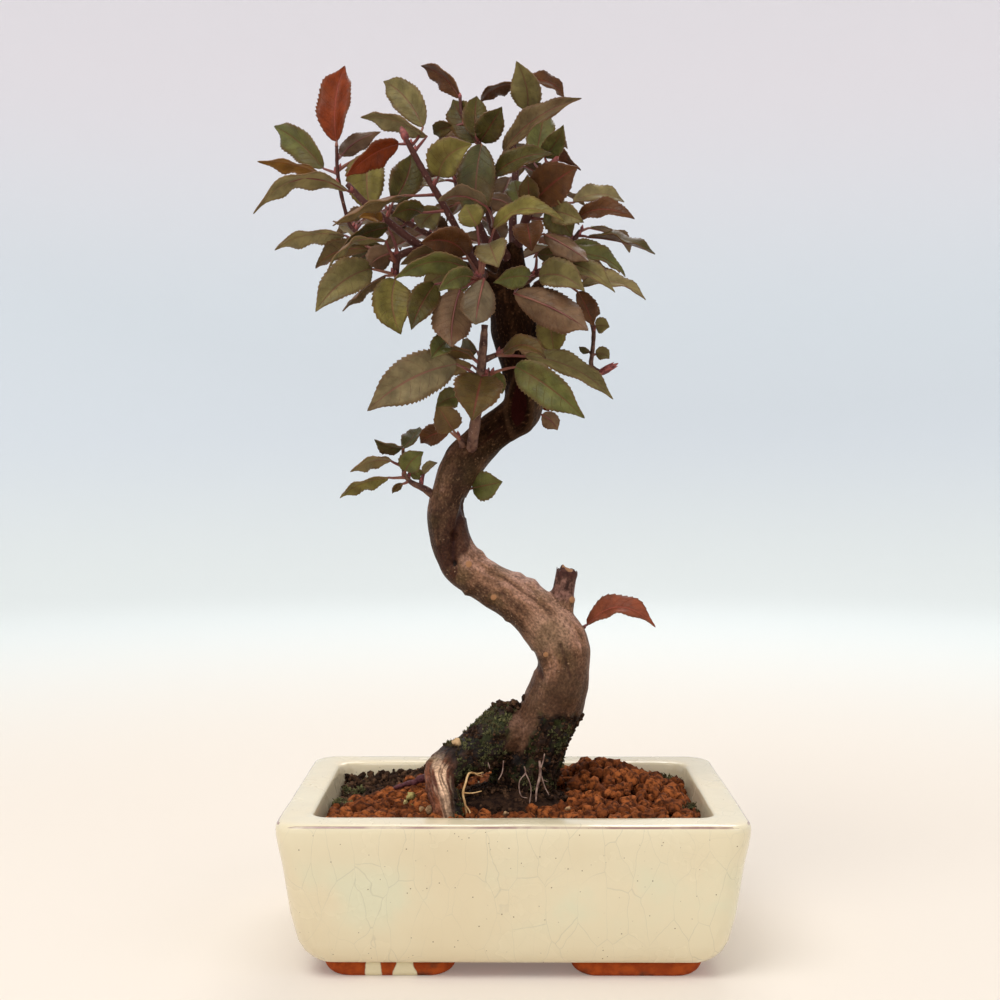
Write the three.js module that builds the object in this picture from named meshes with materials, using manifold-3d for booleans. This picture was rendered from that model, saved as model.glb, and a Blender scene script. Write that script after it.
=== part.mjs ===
// An apple bonsai: a small S-curved tree in a rectangular glazed pot.
// Millimetres, +Z up, the viewer looks along +Y. The pot stands on z = 0.
//
// Points of the tree are given as they are seen from the front: x and height on the upright plane
// through the middle of the pot, then the depth behind that plane (less than 0 is nearer).

import * as THREE from 'three';
import { mergeVertices } from 'three/addons/utils/BufferGeometryUtils.js';
import Module from 'manifold-3d';

const wasm = await Module();
wasm.setup();

// Driving dimensions

const EYE = new THREE.Vector3(-2, -606, 200.4);
const GAP = 0.3;

const POT_FLOOR = 14;
const DRAIN_HOLE = { x: 40, radius: 9 };
const DRAIN_MESH = { side: 28, thickness: 0.8, hole: 8, pitch: 10 };

// Rings of the pot: height, half length, half width, corner radius
const POT_OUTSIDE = [
  [6, 75.5, 53.5, 8],
  [7.4, 79, 56, 9],
  [10, 81.7, 57.4, 10],
  [14, 83.8, 58.6, 10.5],
  [25, 86.4, 60.3, 10.5],
  [45, 89.2, 62.9, 10],
  [52, 90.6, 64.3, 10],
  [58, 91.5, 65.2, 9],
  [60.5, 91.2, 65, 8.5],
  [62, 89.6, 63.4, 7],
];
const POT_INSIDE = [
  [POT_FLOOR, 67, 41, 9],
  [18, 71.5, 44.5, 9],
  [52, 77, 49, 6],
  [63, 78, 50, 5],
];
const POT_CORNER_STEPS = 3;
// A foot: height, half length, half width, corner radius, and where its middle is
const FOOT_RINGS = [
  [0, 22, 9.5, 7],
  [2.2, 24.8, 11, 8],
  [7.5, 27, 11.5, 8],
];
const FOOT_MIDDLE = { x: 48, y: 41.5 };
const FOOT_CORNER_STEPS = 2;
const ROUND_SIDES = 12;

// The grains reach over a block that is a little larger than the pot's inside
const SOIL_BLOCK = { length: 160, width: 104, underside: 10 };
const SOIL_LEVEL = 55;
// Mounds and dips: middle x and y, reach along x and y, rise
const SOIL_HILLS = [[40, 16, 26, 26, 12], [72, 28, 16, 26, 3], [-62, 40, 26, 12, -4], [30, -30, 30, 14, 2]];
const GRAIN_PITCH = 6.8;
const GRAIN_SHIFT = 0.5;
const GRAIN_RISE = 1.5;
const ROOT_BALL = { x: -2, y: -4, z: 41, halfLength: 36, halfWidth: 30, halfHeight: 23 };

const TRUNK_SIDES = 11;
const TRUNK_LINE = [
  [0, 40, 4, 12],
  [3, 56, 3, 13.6],
  [5.5, 70, 1, 13.3],
  [10.5, 84, -1, 13.3],
  [16.5, 96, -3, 12.6],
  [19.8, 106, -5, 11.8],
  [21.3, 115, -6, 11.2],
  [19.5, 123.5, -6, 11.9],
  [12.5, 132.3, -5, 11.3],
  [2.5, 141, -3, 9.9],
  [-10.5, 148.3, 0, 8.6],
  [-19.8, 154.5, 2, 9.2],
  [-25, 162.5, 3, 9.1],
  [-27.6, 172, 3, 7.9],
  [-27.8, 181, 2, 7.4],
  [-24.8, 190.5, 0, 8.2],
  [-19.5, 199.5, -1, 8.4],
  [-11.5, 208, -1, 8.1],
  [-3.5, 214.5, 0, 7.9],
  [3, 220, 0, 8.4],
  [5, 228, 0, 8.6],
  [3.5, 240, 1, 8.6],
  [1, 253, 2, 9.8],
  [-0.5, 264, 2, 9.6],
  [-0.5, 276, 2, 6.6],
  [1, 290, 2, 3.4],
];
// Roots, the cut branch and the thicker branches: x, height, depth, radius
const TRUNK_LIMBS = [
  { sides: 10, line: [[8, 88, 2, 10], [-4, 85, -4, 11], [-15, 77, -9, 9.5], [-26, 71.5, -16, 7.8],
    [-31, 64, -24, 6], [-29.5, 55, -31, 5.2], [-26, 44, -36, 4.5]] },
  { sides: 6, line: [[-18, 72, 0, 3], [-27, 69, 10, 2.2], [-36, 66, 15, 1.8], [-45, 63, 18, 1.4],
    [-55, 60, 19, 1.1]] },
  { sides: 9, line: [[19, 133, -5, 6.4], [21.2, 144, -5, 4.9], [22.7, 154.5, -5, 4.6]] },
  { sides: 7, line: [[1, 268, 1, 5], [-13, 276, -3, 3.6], [-28, 283, -6, 2.6], [-40, 289, -8, 2]] },
  { sides: 7, line: [[3, 262, 3, 4.5], [13, 266, 6, 3], [25, 264, 8, 2]] },
  { sides: 7, line: [[1, 270, 3, 4.5], [-8, 280, 16, 3], [-16, 288, 26, 2]] },
  { sides: 7, line: [[2, 258, 4, 4.5], [6, 266, 15, 3], [12, 274, 24, 2]] },
];
const TRUNK_WOUND = { x: 1.5, height: 222.5, depth: -8.5, halfWidth: 3.4, halfHeight: 9.5, halfDepth: 3 };

const BLADE_THICKNESS = 0.7;
const BLADE_FOLD = Math.tan(THREE.MathUtils.degToRad(17));
const BLADE_ARCH = 0.06;
const TOOTH_NOTCH = 0.84;
const SMALL_BLADE = 20;
const NARROW_BLADE = 9.5;
const LONG_STALK = 12;
const STEM_SIDES = 5;
const STALK_RADIUS = 0.6;
const STALK_SAG = 0.12;
// A bud: how far along it, radius
const BUD_RINGS = [[0, 1], [0.35, 1.7], [0.75, 1.3], [1, 0.3]];
// How far along the blade the points of its midrib and of its toothed edge lie
const LARGE_RIB = [0, 0.24, 0.5, 0.76, 1];
const LARGE_EDGE = [0, 0.11, 0.36, 0.43, 0.68, 0.75, 1];
const SMALL_RIB = [0, 0.35, 0.68, 1];
const SMALL_EDGE = [0, 0.14, 0.42, 0.5, 0.78, 1];

// Leafy shoots. A stem is a list of points with a radius. A leaf is its base (x, height, depth), its
// tip (x, height, depth), how far its middle is bowed up, its width, and its turn about the midrib:
// 0 shows the upper face to the viewer and 180 the underside.
const SHOOTS = [
  {
    name: 'shoot_left',
    stems: [
      [[-38, 288, -8, 2], [-46, 294, -9, 1.7], [-54, 300.5, -10, 1.6], [-61, 306, -10, 1.5],
        [-69, 314.5, -9, 1.1]],
      [[-50, 297.5, -9, 1.2], [-60, 293, -2, 0.9], [-67, 296, 1, 0.8], [-70, 304, 1, 0.8],
        [-73, 319, 1, 0.8], [-73.4, 330, 1, 0.7]],
    ],
    leaves: [
      [-73.5, 332, 1, -69.8, 363.5, 11, -1.5, 15, 20],
      [-79, 321, 5, -99.5, 338.5, 20, 2.5, 13, 20],
      [-81, 319, -6, -106.5, 323.7, -20, 3, 9, 55],
      [-69, 311.5, -12, -108.3, 302, -32, 11, 10, 48],
      [-71.5, 326, 5, -55, 336, 20, 2.5, 9, 205],
      [-60, 327, 9, -59, 301, 2, -1, 17, -10],
      [-50, 307, -12, -42.5, 327, -4, -2, 14, 5],
      [-63, 298.5, 5, -75.2, 299, 18, 0.6, 6, 70],
      [-63, 300, 9, -70.5, 294.5, 24, 1, 9, 0],
      [-55, 298.5, -12, -64, 300.8, -24, 1, 7, -35],
    ],
  },
  {
    name: 'spray_left_low',
    stems: [
      [[-36, 287, -8, 1.8], [-43, 286.5, -11, 1.6], [-48, 284, -13, 1.6], [-49, 277, -15, 1.4]],
    ],
    leaves: [
      [-70, 293, -2, -99.5, 287, 12, 5, 9, 42],
      [-60, 287.5, -6, -82.5, 279.5, 6, 2.5, 10, -30],
      [-52, 296.5, -16, -71.5, 287.5, -30, 2.5, 9, 35],
      [-59, 279.5, -17, -82.5, 261.5, -36, 2.5, 15, -8],
      [-53, 290.5, -22, -77.5, 277.5, -44, 8, 7, 70],
      [-54, 288, -8, -66, 281.5, 4, 1, 12, 0],
      [-50, 286, -12, -60, 280.5, -20, 1, 11, 180],
      [-53, 276.3, -14, -71, 261.5, -4, 3, 7, 60],
      [-49, 275, -20, -46.7, 252, -27, -2.5, 17, 5],
    ],
  },
  {
    name: 'shoot_front_left',
    stems: [
      [[-12, 276, -4, 2.4], [-14, 278, -9, 2.2], [-18, 285, -12, 1.7], [-24, 297, -15, 1.5],
        [-32, 311, -17, 1.4], [-38.5, 322, -17, 1.3], [-44.5, 333, -17, 1.1]],
      [[-14, 278, -9, 1.8], [-13, 276, -17, 1.6], [-14, 275, -24, 1.4]],
    ],
    bud: [-44.5, 333, -17, -46.5, 338.5, -17],
    leaves: [
      [-45, 309.5, -22, -75, 297, -38, 4.5, 8, 66],
      [-31, 317.5, -20, -17, 331, -32, 3, 15, 10],
      [-47.5, 331, -17, -69.5, 317.5, -30, 3, 12, 35],
      [-36, 334, -10, -63.5, 342, 2, 4, 9, 40],
      [-37.5, 338, -4, -54, 357, 10, 2.5, 13, 0],
      [-38, 302.5, -19, -50.5, 301, -30, 2.5, 10, 30],
      [-30, 304, -15, -38.5, 296, -4, 1.5, 11, 10],
      [-19.5, 285, -21, -38.5, 290, -36, 4, 15, 20],
      [-21, 283.5, -14, -47, 281, -20, 4, 11, 30],
      [-19, 279.5, -27, -49.5, 275, -44, 5.5, 10, 30],
      [-19, 278, -24, -37.7, 270.5, -18, 3, 11, 20],
      [-32.5, 273, -28, -42.5, 254, -40, 1, 12, 0],
      [-17, 276, -30, -31, 270, -46, 2.5, 9, 20],
      [-17, 274.5, -22, -27, 269.5, -14, 1.5, 8, 10],
      [-22, 271, -31, -25.5, 246.5, -42, -1, 17, 190],
      [-12, 275, -35, -15.5, 256, -52, -0.5, 14, 180],
      [-10, 290, -27, -6, 280, -40, 0, 14, 0],
      [-15, 297, -27, -20, 306, -25, 0, 11, 0],
      [-8, 296, -22, 21.5, 299, -38, 5, 9, 42],
    ],
  },
  {
    name: 'shoot_top',
    stems: [
      [[-1, 282, 0, 2.2], [-6, 290, -5, 1.8], [-9, 298, -8, 1.5], [-11, 308, -9, 1.4],
        [-12, 318, -9, 1.2], [-14, 331, -8, 1], [-21, 343, -4, 0.8], [-22, 350, -2, 0.7]],
      [[-11, 310, -9, 1.2], [-5, 322, -5, 1], [1, 334, -1, 0.9], [5, 345, 1, 0.8]],
    ],
    leaves: [
      [-13, 331, -16, -15, 295, -20, -1.5, 16, 0],
      [-15.5, 331.5, -8, -25, 349.5, 4, 0, 13, 10],
      [-13.5, 332, -7, -4.5, 346.5, -16.5, 0, 12, 0],
      [-15.5, 334, -10, -15, 351, -4, -0.5, 11, 0],
      [-22, 350, 1, -38.5, 363.5, 14, 3.5, 9, 38],
      [-25, 338, -3, -33, 335, 4, 1, 7, 0],
      [-22, 333, 0, -31, 333, 12, 1, 9, 180],
      [-4, 328, -12, 28.5, 350, -28, 2, 10, 35],
      [1, 356, 4, -13.5, 348, 18, 3, 9, 50],
      [5, 357, 6, 21.5, 349.5, 20, 2.5, 9, 50],
      [6, 345, -1, 1.3, 365.5, -14, 2, 13, 10],
      [-8, 318, -14, 17, 327, -26, 2, 10, 28],
      [-11, 305.5, -33, -31.5, 307.5, -44, 2, 10, 235],
      [-11, 308, -14, 0.5, 303.5, -12, 2, 9, 205],
    ],
  },
  {
    name: 'shoot_right_top',
    stems: [
      [[1.5, 288, 1, 2.6], [4, 296, -1, 2], [8, 306, -4, 1.8], [12, 316, -6, 1.5], [15.5, 321, -7, 1.3]],
    ],
    bud: [15.5, 321, -7, 19, 326, -8],
    leaves: [
      [9, 323, -3, 13.5, 346, 10, 0, 12, 0],
      [13, 326, -2, 21, 339, -14, -1, 9, 0],
      [9.5, 307.5, -9, 27, 321.5, -20, 1, 18, 8],
      [7, 306, -11, 6, 318.5, -18, 0, 9, 0],
      [3.5, 305, -4, 0.5, 316, 6, 0, 9, 0],
      [14, 304.5, -6, 24.5, 292.5, -8, 1, 14, 0],
      [16, 303, -10, 29.5, 298.5, -22, 1, 10, 0],
      [25, 307, -5, 46.5, 307, 9, 2, 10, 45],
      [27, 300.5, -8, 50.8, 300, -24, 2.5, 10, 40],
      [6, 298, -12, 8, 286.5, -22, 0, 13, 0],
      [13, 293.5, -15, 31.5, 282, -30, 1.5, 10, 212],
    ],
  },
  {
    name: 'shoot_right',
    stems: [
      [[1, 273, 0, 2.4], [6, 275, -7, 2], [9, 277, -11, 1.7], [13, 278.5, -13, 1.5]],
    ],
    leaves: [
      [20, 284, -6, 47, 276, 8, 3.5, 9, 42],
      [15, 282.5, -12, 42.7, 269.5, -28, 2.5, 9, 28],
      [28, 272, -10, 55.5, 266.5, -12, 3, 9, 52],
      [11, 276, -16, 30, 270, -32, 2.5, 13, 18],
      [10, 285, -8, 25, 283, 4, 1, 9, 0],
      [21, 286.5, -2, 37.7, 286, 12, 1, 9, 5],
      [7, 276, -18, -8, 273.5, -30, 1.5, 10, 20],
      [0.5, 269, -24, 31.5, 253.5, -40, 2, 16, 190],
      [27, 270, -7, 33.5, 255.5, -4, 0, 10, 35],
    ],
  },
  {
    name: 'twig_right_hanging',
    stems: [
      [[22, 264.5, 8, 1.8], [29, 262, 6, 1.3], [33.3, 256, 4, 1], [33.6, 249, 2, 0.9],
        [33, 243, 1, 0.9], [32.8, 238.6, 0, 1], [36.5, 236, -1, 1.2]],
    ],
    bud: [36.5, 236, -1, 44, 240, -3],
    leaves: [
      [34.5, 255.5, 1, 40.4, 255, -1, 0.5, 7, 0],
      [34.5, 243.8, 2, 40.3, 241.8, 1, 1, 6, 10],
      [32, 244.5, 2, 27.5, 246.8, 1, 0, 3.5, 40],
      [30.5, 261.5, 2, 36.5, 260.5, 0, 0.5, 6, 180],
      [15, 259.5, -1, 17.5, 242.5, -6, 0, 13, 0],
    ],
  },
  {
    name: 'shoot_front_low',
    stems: [
      [[-17.5, 203, -5, 2.8], [-17, 206, -10, 2.4], [-16, 214, -14, 2.2], [-14.5, 224, -16, 2],
        [-13.5, 235, -18, 1.9], [-12.5, 246, -19, 1.7], [-11.8, 256, -19, 1.3]],
      [[-13.5, 235, -18, 1.5], [-9.5, 235.5, -20, 1.2]],
      [[-13, 241, -18.5, 1.4], [-7, 243.5, -17, 1.1]],
    ],
    leaves: [
      [-23.5, 239.7, -23, -61, 220, -36, 3.5, 19, 5],
      [-17, 239, -16, -40.5, 244, -4, -1.5, 9, 20],
      [-28, 249, -26, -34, 241.8, -36, 0.5, 9, 0],
      [-16, 241.5, -20, -31.5, 243.5, -28, 3.5, 8, 55],
      [-15, 245, -14, -22, 246.5, -4, 0, 9, 0],
      [-13, 234.5, -25, -17, 216, -40, 0, 20, -5],
      [1, 238.5, -27, 30, 217, -42, 2, 15, -12],
      [5, 243, -16, 42, 225, -18, 3, 10, 26],
      [-4, 244, -22, 14, 242, -34, 3.5, 9, 40],
      [1, 249, -14, 16, 243.5, -6, 1.5, 9, 200],
      [-9, 236.5, -16, -4.5, 227, -16, 1, 6, 0],
      [-22.5, 225.5, -18, -32, 221.5, -26, 1.5, 9, 0],
    ],
  },
  {
    name: 'spray_low_left',
    stems: [[[-22, 204, -4, 1.6], [-21, 206, -9, 1.4], [-22, 208, -11, 1.2]]],
    leaves: [
      [-25, 212, -12, -32, 223, -19, 0, 12, 0],
      [-26.5, 211.5, -9, -38.7, 206.5, 0, 1.5, 9, 0],
    ],
  },
  {
    name: 'spray_behind_trunk',
    stems: [[[7, 221, 4, 1.5], [11, 219, 9, 1.2]]],
    leaves: [
      [12, 218.5, 9, 18.7, 212, 8, 1, 8, 190],
      [12, 221, 8, 17.5, 223, 7, 1, 6, 0],
    ],
  },
  {
    name: 'leaf_trunk_middle',
    stems: [[[-21, 187, 2, 1], [-18.5, 187.5, 2, 0.8]]],
    leaves: [[-17, 187.8, 1, -4.3, 190.5, -7, 0, 12, 0]],
  },
  {
    name: 'leaf_trunk_low',
    stems: [[[26, 127, -3, 1.2], [30, 129.5, -4, 0.9]]],
    leaves: [[31, 130.5, -4, 60, 129.5, -14, 6, 11, 42]],
  },
  {
    name: 'twig_left',
    stems: [
      [[-33, 184.5, 0, 1.8], [-37, 187.5, -2, 1.5], [-43, 190.5, -3, 1.1], [-45.5, 194, -4, 0.9],
        [-46, 204, -5, 0.7]],
    ],
    leaves: [
      [-46.3, 204.5, -6, -58, 208, -18, 0, 8, 50],
      [-46, 204.5, -5, -39, 213.5, 6, -1, 8, 40],
      [-51, 199, -7, -68, 194.5, -20, 3, 8, 50],
      [-45, 195, -6, -37.5, 203, -14, 1, 10, 0],
      [-37.5, 193.5, 0, -31.5, 198.5, 2, 1, 4, 30],
      [-37.8, 193.5, -1, -41, 196, -2, 0, 3.5, 30],
      [-43, 194.5, -1, -38.8, 191, -1, 0.5, 4, 0],
      [-52, 192, -4, -72.5, 183.5, 8, 3.5, 8, 50],
      [-46, 189.5, -4, -50.5, 185.5, -4, 1, 3.5, 30],
    ],
  },
];

// Shoots at the back, which the front hides: stem points with a radius in the same way, then how many
// leaves are set around the stem by the golden section, and over which arc: 0 points to the right, 0.5
// to the back and 1 to the left
const BACK_SHOOTS = [
  { name: 'shoot_back_left', leaves: 8, arc: [0.15, 1.15], seed: 8,
    stem: [[-14, 286, 25, 2.1], [-24, 289, 27, 1.7], [-38, 295, 29, 1.4], [-52, 304, 30, 1]] },
  { name: 'shoot_back_middle', leaves: 8, arc: [-0.15, 0.75], seed: 12,
    stem: [[0.5, 284, 5, 2.1], [0, 300, 12, 1.8], [1, 317, 18, 1.5], [0, 335, 20, 1]] },
  { name: 'shoot_back_right', leaves: 8, arc: [-0.15, 1.05], seed: 11,
    stem: [[10, 272, 22, 2.1], [17, 278, 26, 1.7], [22, 286, 29, 1.4], [28, 295, 31, 1]] },
  { name: 'shoot_back_upper', leaves: 6, arc: [0.4, 1.25], seed: 47,
    stem: [[-8, 282, 16, 2], [-14, 297, 15, 1.6], [-21, 311, 16, 1.3], [-27, 323, 17, 1]] },
];
// Lengths in mm, the rest as parts of the leaf's length, and the turn in degrees
const BACK_LEAF = {
  length: 26, lengthSpread: 0.4, ratio: 0.45, stalk: 7, bow: 2, lift: 0.35, droop: 0.55, droopSpread: 0.3,
  firstPlace: 0.3, turnSpread: 50,
};
const GOLDEN_SECTION = (Math.sqrt(5) - 1) / 2;

// Materials

const finish = (color, roughness, metalness = 0) =>
  new THREE.MeshStandardMaterial({ color, roughness, metalness, flatShading: true });
const GLAZE = finish(0xdcd3ab, 0.3);
const PLASTIC_NET = finish(0x1f201d, 0.7);
const OLD_SOIL = finish(0x2c241a, 0.95);
const AKADAMA = finish(0x8a4a26, 0.95);
const BARK = finish(0x6b5142, 0.85);
const LEAF_OLIVE = finish(0x5c5a2c, 0.6);
const LEAF_BRONZE = finish(0x6e4a30, 0.6);

// Helpers that make solids

function solidFromFaces(points, faces) {
  const vertProperties = new Float32Array(points.flatMap((p) => [p.x, p.y, p.z]));
  const triVerts = new Uint32Array(faces.flat());
  return new wasm.Manifold(new wasm.Mesh({ numProp: 3, vertProperties, triVerts }));
}

function solidFromGeometry(geometry) {
  geometry.deleteAttribute('normal');
  geometry.deleteAttribute('uv');
  const merged = mergeVertices(geometry, 1e-4);
  const vertProperties = new Float32Array(merged.attributes.position.array);
  const triVerts = new Uint32Array(merged.index.array);
  return new wasm.Manifold(new wasm.Mesh({ numProp: 3, vertProperties, triVerts }));
}

function join(solids) {
  return solids.reduce((all, solid) => all.add(solid));
}

// The largest body of a solid: a loose scrap that a cut leaves is dropped
function mainBody(solid) {
  const bodies = solid.decompose();
  return bodies.reduce((best, body) => (body.volume() > best.volume() ? body : best));
}

function node(name, solid, material) {
  const { numProp, vertProperties, triVerts } = mainBody(solid).getMesh();
  const geometry = new THREE.BufferGeometry();
  const positions = new Float32Array((vertProperties.length / numProp) * 3);
  for (let i = 0; i < positions.length / 3; i += 1) {
    positions.set(vertProperties.slice(i * numProp, i * numProp + 3), i * 3);
  }
  geometry.setAttribute('position', new THREE.BufferAttribute(positions, 3));
  geometry.setIndex(new THREE.BufferAttribute(new Uint32Array(triVerts), 1));
  geometry.computeVertexNormals();
  const mesh = new THREE.Mesh(geometry, material);
  mesh.name = name;
  return mesh;
}

// Rings of points with as many points each become a closed solid with flat ends
function loft(rings) {
  const points = rings.flat();
  const count = rings[0].length;
  const faces = [];
  for (let ring = 0; ring + 1 < rings.length; ring += 1) {
    for (let i = 0; i < count; i += 1) {
      const a = ring * count + i;
      const b = ring * count + ((i + 1) % count);
      faces.push([a, b, b + count], [a, b + count, a + count]);
    }
  }
  const last = (rings.length - 1) * count;
  for (let i = 1; i + 1 < count; i += 1) {
    faces.push([0, i + 1, i], [last, last + i, last + i + 1]);
  }
  return solidFromFaces(points, faces);
}

// The same number for the same place in the same series, spread evenly between 0 and 1
function draw(index, series) {
  const value = Math.sin(index * 12.9898 + series * 78.233) * 43758.5453;
  return value - Math.floor(value);
}

// A point seen at (x, height) from the front, at a depth behind the middle plane
function seen(x, height, depth) {
  const scale = (depth - EYE.y) / -EYE.y;
  return new THREE.Vector3(EYE.x + (x - EYE.x) * scale, depth, EYE.z + (height - EYE.z) * scale);
}

// A limb that tapers along a smooth line of points with radii; grow makes it fatter all round
function limb(line, sides, stepsPerSpan, grow = 0) {
  const curve = new THREE.CatmullRomCurve3(line.map(([x, height, depth]) => seen(x, height, depth)));
  const steps = (line.length - 1) * stepsPerSpan;
  let across = new THREE.Vector3(0, -1, 0);
  const rings = [];
  for (let step = 0; step <= steps; step += 1) {
    const along = step / steps;
    const span = Math.min(Math.floor(along * (line.length - 1)), line.length - 2);
    const part = along * (line.length - 1) - span;
    const radius = THREE.MathUtils.lerp(line[span][3], line[span + 1][3], part) + grow;
    const tangent = curve.getTangent(along);
    across = across.clone().projectOnPlane(tangent).normalize();
    const beside = new THREE.Vector3().crossVectors(tangent, across);
    const centre = curve.getPoint(along);
    if (step === 0) centre.addScaledVector(tangent, -grow);
    if (step === steps) centre.addScaledVector(tangent, grow);
    const ring = [];
    for (let i = 0; i < sides; i += 1) {
      const angle = (i / sides) * 2 * Math.PI;
      ring.push(centre.clone()
        .addScaledVector(across, radius * Math.cos(angle))
        .addScaledVector(beside, radius * Math.sin(angle)));
    }
    rings.push(ring);
  }
  return loft(rings);
}

// A point on a leaf's midrib, which is a quadratic curve, and its direction there
function ribPoint(leaf, along) {
  const rest = 1 - along;
  return leaf.base.clone().multiplyScalar(rest * rest)
    .addScaledVector(leaf.bend, 2 * rest * along)
    .addScaledVector(leaf.tip, along * along);
}

function ribDirection(leaf, along) {
  return leaf.bend.clone().sub(leaf.base).multiplyScalar(1 - along)
    .addScaledVector(leaf.tip.clone().sub(leaf.bend), along)
    .normalize();
}

// The directions across a blade and out of its upper face, turned about the midrib
function bladeAxes(direction, facing, turn) {
  const flat = new THREE.Vector3().crossVectors(direction, facing).normalize();
  const out = new THREE.Vector3().crossVectors(flat, direction);
  const across = flat.clone().multiplyScalar(Math.cos(turn)).addScaledVector(out, Math.sin(turn));
  const upper = out.clone().multiplyScalar(Math.cos(turn)).addScaledVector(flat, -Math.sin(turn));
  return { across, upper };
}

function makeLeaf(base, tip, facing, bow, width, turn) {
  const chord = tip.clone().sub(base);
  const { upper } = bladeAxes(chord.clone().normalize(), facing, turn);
  const lift = new THREE.Vector3().crossVectors(chord, facing).normalize();
  // A midrib bows upwards, and one that stands upright bows to the right
  const upright = Math.abs(lift.z) < 0.3;
  if (upright ? lift.x < 0 : lift.z < 0) lift.negate();
  const length = chord.length();
  const bend = base.clone().add(tip).multiplyScalar(0.5)
    .addScaledVector(lift, 2 * bow)
    .addScaledVector(upper, 2 * BLADE_ARCH * length);
  return { base, tip, bend, facing, width, turn, length };
}

// A leaf row of a front shoot
function seenLeaf([baseX, baseHeight, baseDepth, tipX, tipHeight, tipDepth, bow, width, turn]) {
  const base = seen(baseX, baseHeight, baseDepth);
  const tip = seen(tipX, tipHeight, tipDepth);
  const facing = EYE.clone().sub(base.clone().add(tip).multiplyScalar(0.5)).normalize();
  return makeLeaf(base, tip, facing, bow, width, THREE.MathUtils.degToRad(turn));
}

// Half the blade's width at a place along it: broadest before the middle, drawn out to a point
function halfWidth(leaf, along) {
  return (leaf.width / 2) * Math.sin(Math.PI * along ** 0.75) ** 0.85;
}

// The middles of the rings of a stalk, from the stem to just before the blade
function stalkStops(start, leaf) {
  const reach = leaf.base.distanceTo(start);
  if (reach < LONG_STALK) return [start];
  const halfWay = start.clone().lerp(leaf.base, 0.5)
    .addScaledVector(ribDirection(leaf, 0), -STALK_SAG * reach);
  return [start, halfWay];
}

// A leaf with its stalk as one closed mesh: a ring of four points where the stalk meets the blade,
// a toothed edge, and a blade folded up a little along its midrib, both faces split alike
function leafSolid(leaf, start) {
  const small = leaf.length < SMALL_BLADE || leaf.width < NARROW_BLADE;
  const ribPlaces = small ? SMALL_RIB : LARGE_RIB;
  const edgePlaces = small ? SMALL_EDGE : LARGE_EDGE;
  const points = [];
  const add = (point) => points.push(point) - 1;
  const half = BLADE_THICKNESS / 2;

  // Each place on the blade has a point on its upper and one on its lower face
  const place = (along, side, reach, thickness = half) => {
    const { across, upper } = bladeAxes(ribDirection(leaf, along), leaf.facing, leaf.turn);
    const middle = ribPoint(leaf, along)
      .addScaledVector(across, side * reach)
      .addScaledVector(upper, reach * BLADE_FOLD);
    const above = add(middle.clone().addScaledVector(upper, thickness));
    return { above, below: add(middle.addScaledVector(upper, -thickness)) };
  };
  const shoulder = (side) => {
    const { across } = bladeAxes(ribDirection(leaf, 0), leaf.facing, leaf.turn);
    const only = add(leaf.base.clone().addScaledVector(across, side * STALK_RADIUS));
    return { above: only, below: only };
  };
  const rib = ribPlaces.map((along, i) => place(along, 0, 0, i === 0 ? STALK_RADIUS : half));
  const edgeOf = (side) => edgePlaces.map((along, i) => {
    if (i === 0) return shoulder(side);
    if (i === edgePlaces.length - 1) return rib[rib.length - 1];
    const notched = i % 2 === 1 && i > 1;
    return place(along, side, halfWidth(leaf, along) * (notched ? TOOTH_NOTCH : 1));
  });
  const right = edgeOf(1);
  const left = edgeOf(-1);

  const faces = [];
  const addFace = (a, b, c) => {
    if (a !== b && b !== c && c !== a) faces.push([a, b, c]);
  };
  const addBladeFace = (a, b, c) => {
    addFace(a.above, b.above, c.above);
    addFace(a.below, c.below, b.below);
  };
  const zip = (edge, mirrored) => {
    let i = 0;
    let j = 0;
    while (i < rib.length - 1 || j < edge.length - 1) {
      const nextRib = i < rib.length - 1 ? ribPlaces[i + 1] : 2;
      const nextEdge = j < edge.length - 1 ? edgePlaces[j + 1] : 2;
      const third = nextEdge <= nextRib ? edge[j + 1] : rib[i + 1];
      if (mirrored) addBladeFace(rib[i], third, edge[j]);
      else addBladeFace(rib[i], edge[j], third);
      if (nextEdge <= nextRib) j += 1;
      else i += 1;
    }
  };
  zip(right, false);
  zip(left, true);
  const outline = [...right, ...left.slice(0, -1).reverse()];
  for (let i = 0; i + 1 < outline.length; i += 1) {
    const [a, b] = [outline[i], outline[i + 1]];
    addFace(a.above, a.below, b.below);
    addFace(a.above, b.below, b.above);
  }

  // The stalk's rings lie above, right, below and left of its middle
  const stops = stalkStops(start, leaf);
  const rings = stops.map((stop, i) => {
    const next = stops[i + 1] ?? leaf.base;
    const { across, upper } = bladeAxes(next.clone().sub(stop).normalize(), leaf.facing, leaf.turn);
    return [[upper, 1], [across, 1], [upper, -1], [across, -1]].map(([direction, side]) =>
      add(stop.clone().addScaledVector(direction, side * STALK_RADIUS)));
  });
  rings.push([rib[0].above, right[0].above, rib[0].below, left[0].above]);
  for (let ring = 0; ring + 1 < rings.length; ring += 1) {
    for (let i = 0; i < 4; i += 1) {
      const next = (i + 1) % 4;
      addFace(rings[ring][i], rings[ring][next], rings[ring + 1][next]);
      addFace(rings[ring][i], rings[ring + 1][next], rings[ring + 1][i]);
    }
  }
  const [top, rightOf, under, leftOf] = rings[0];
  addFace(top, under, rightOf);
  addFace(top, leftOf, under);
  return solidFromFaces(points, faces);
}

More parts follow.
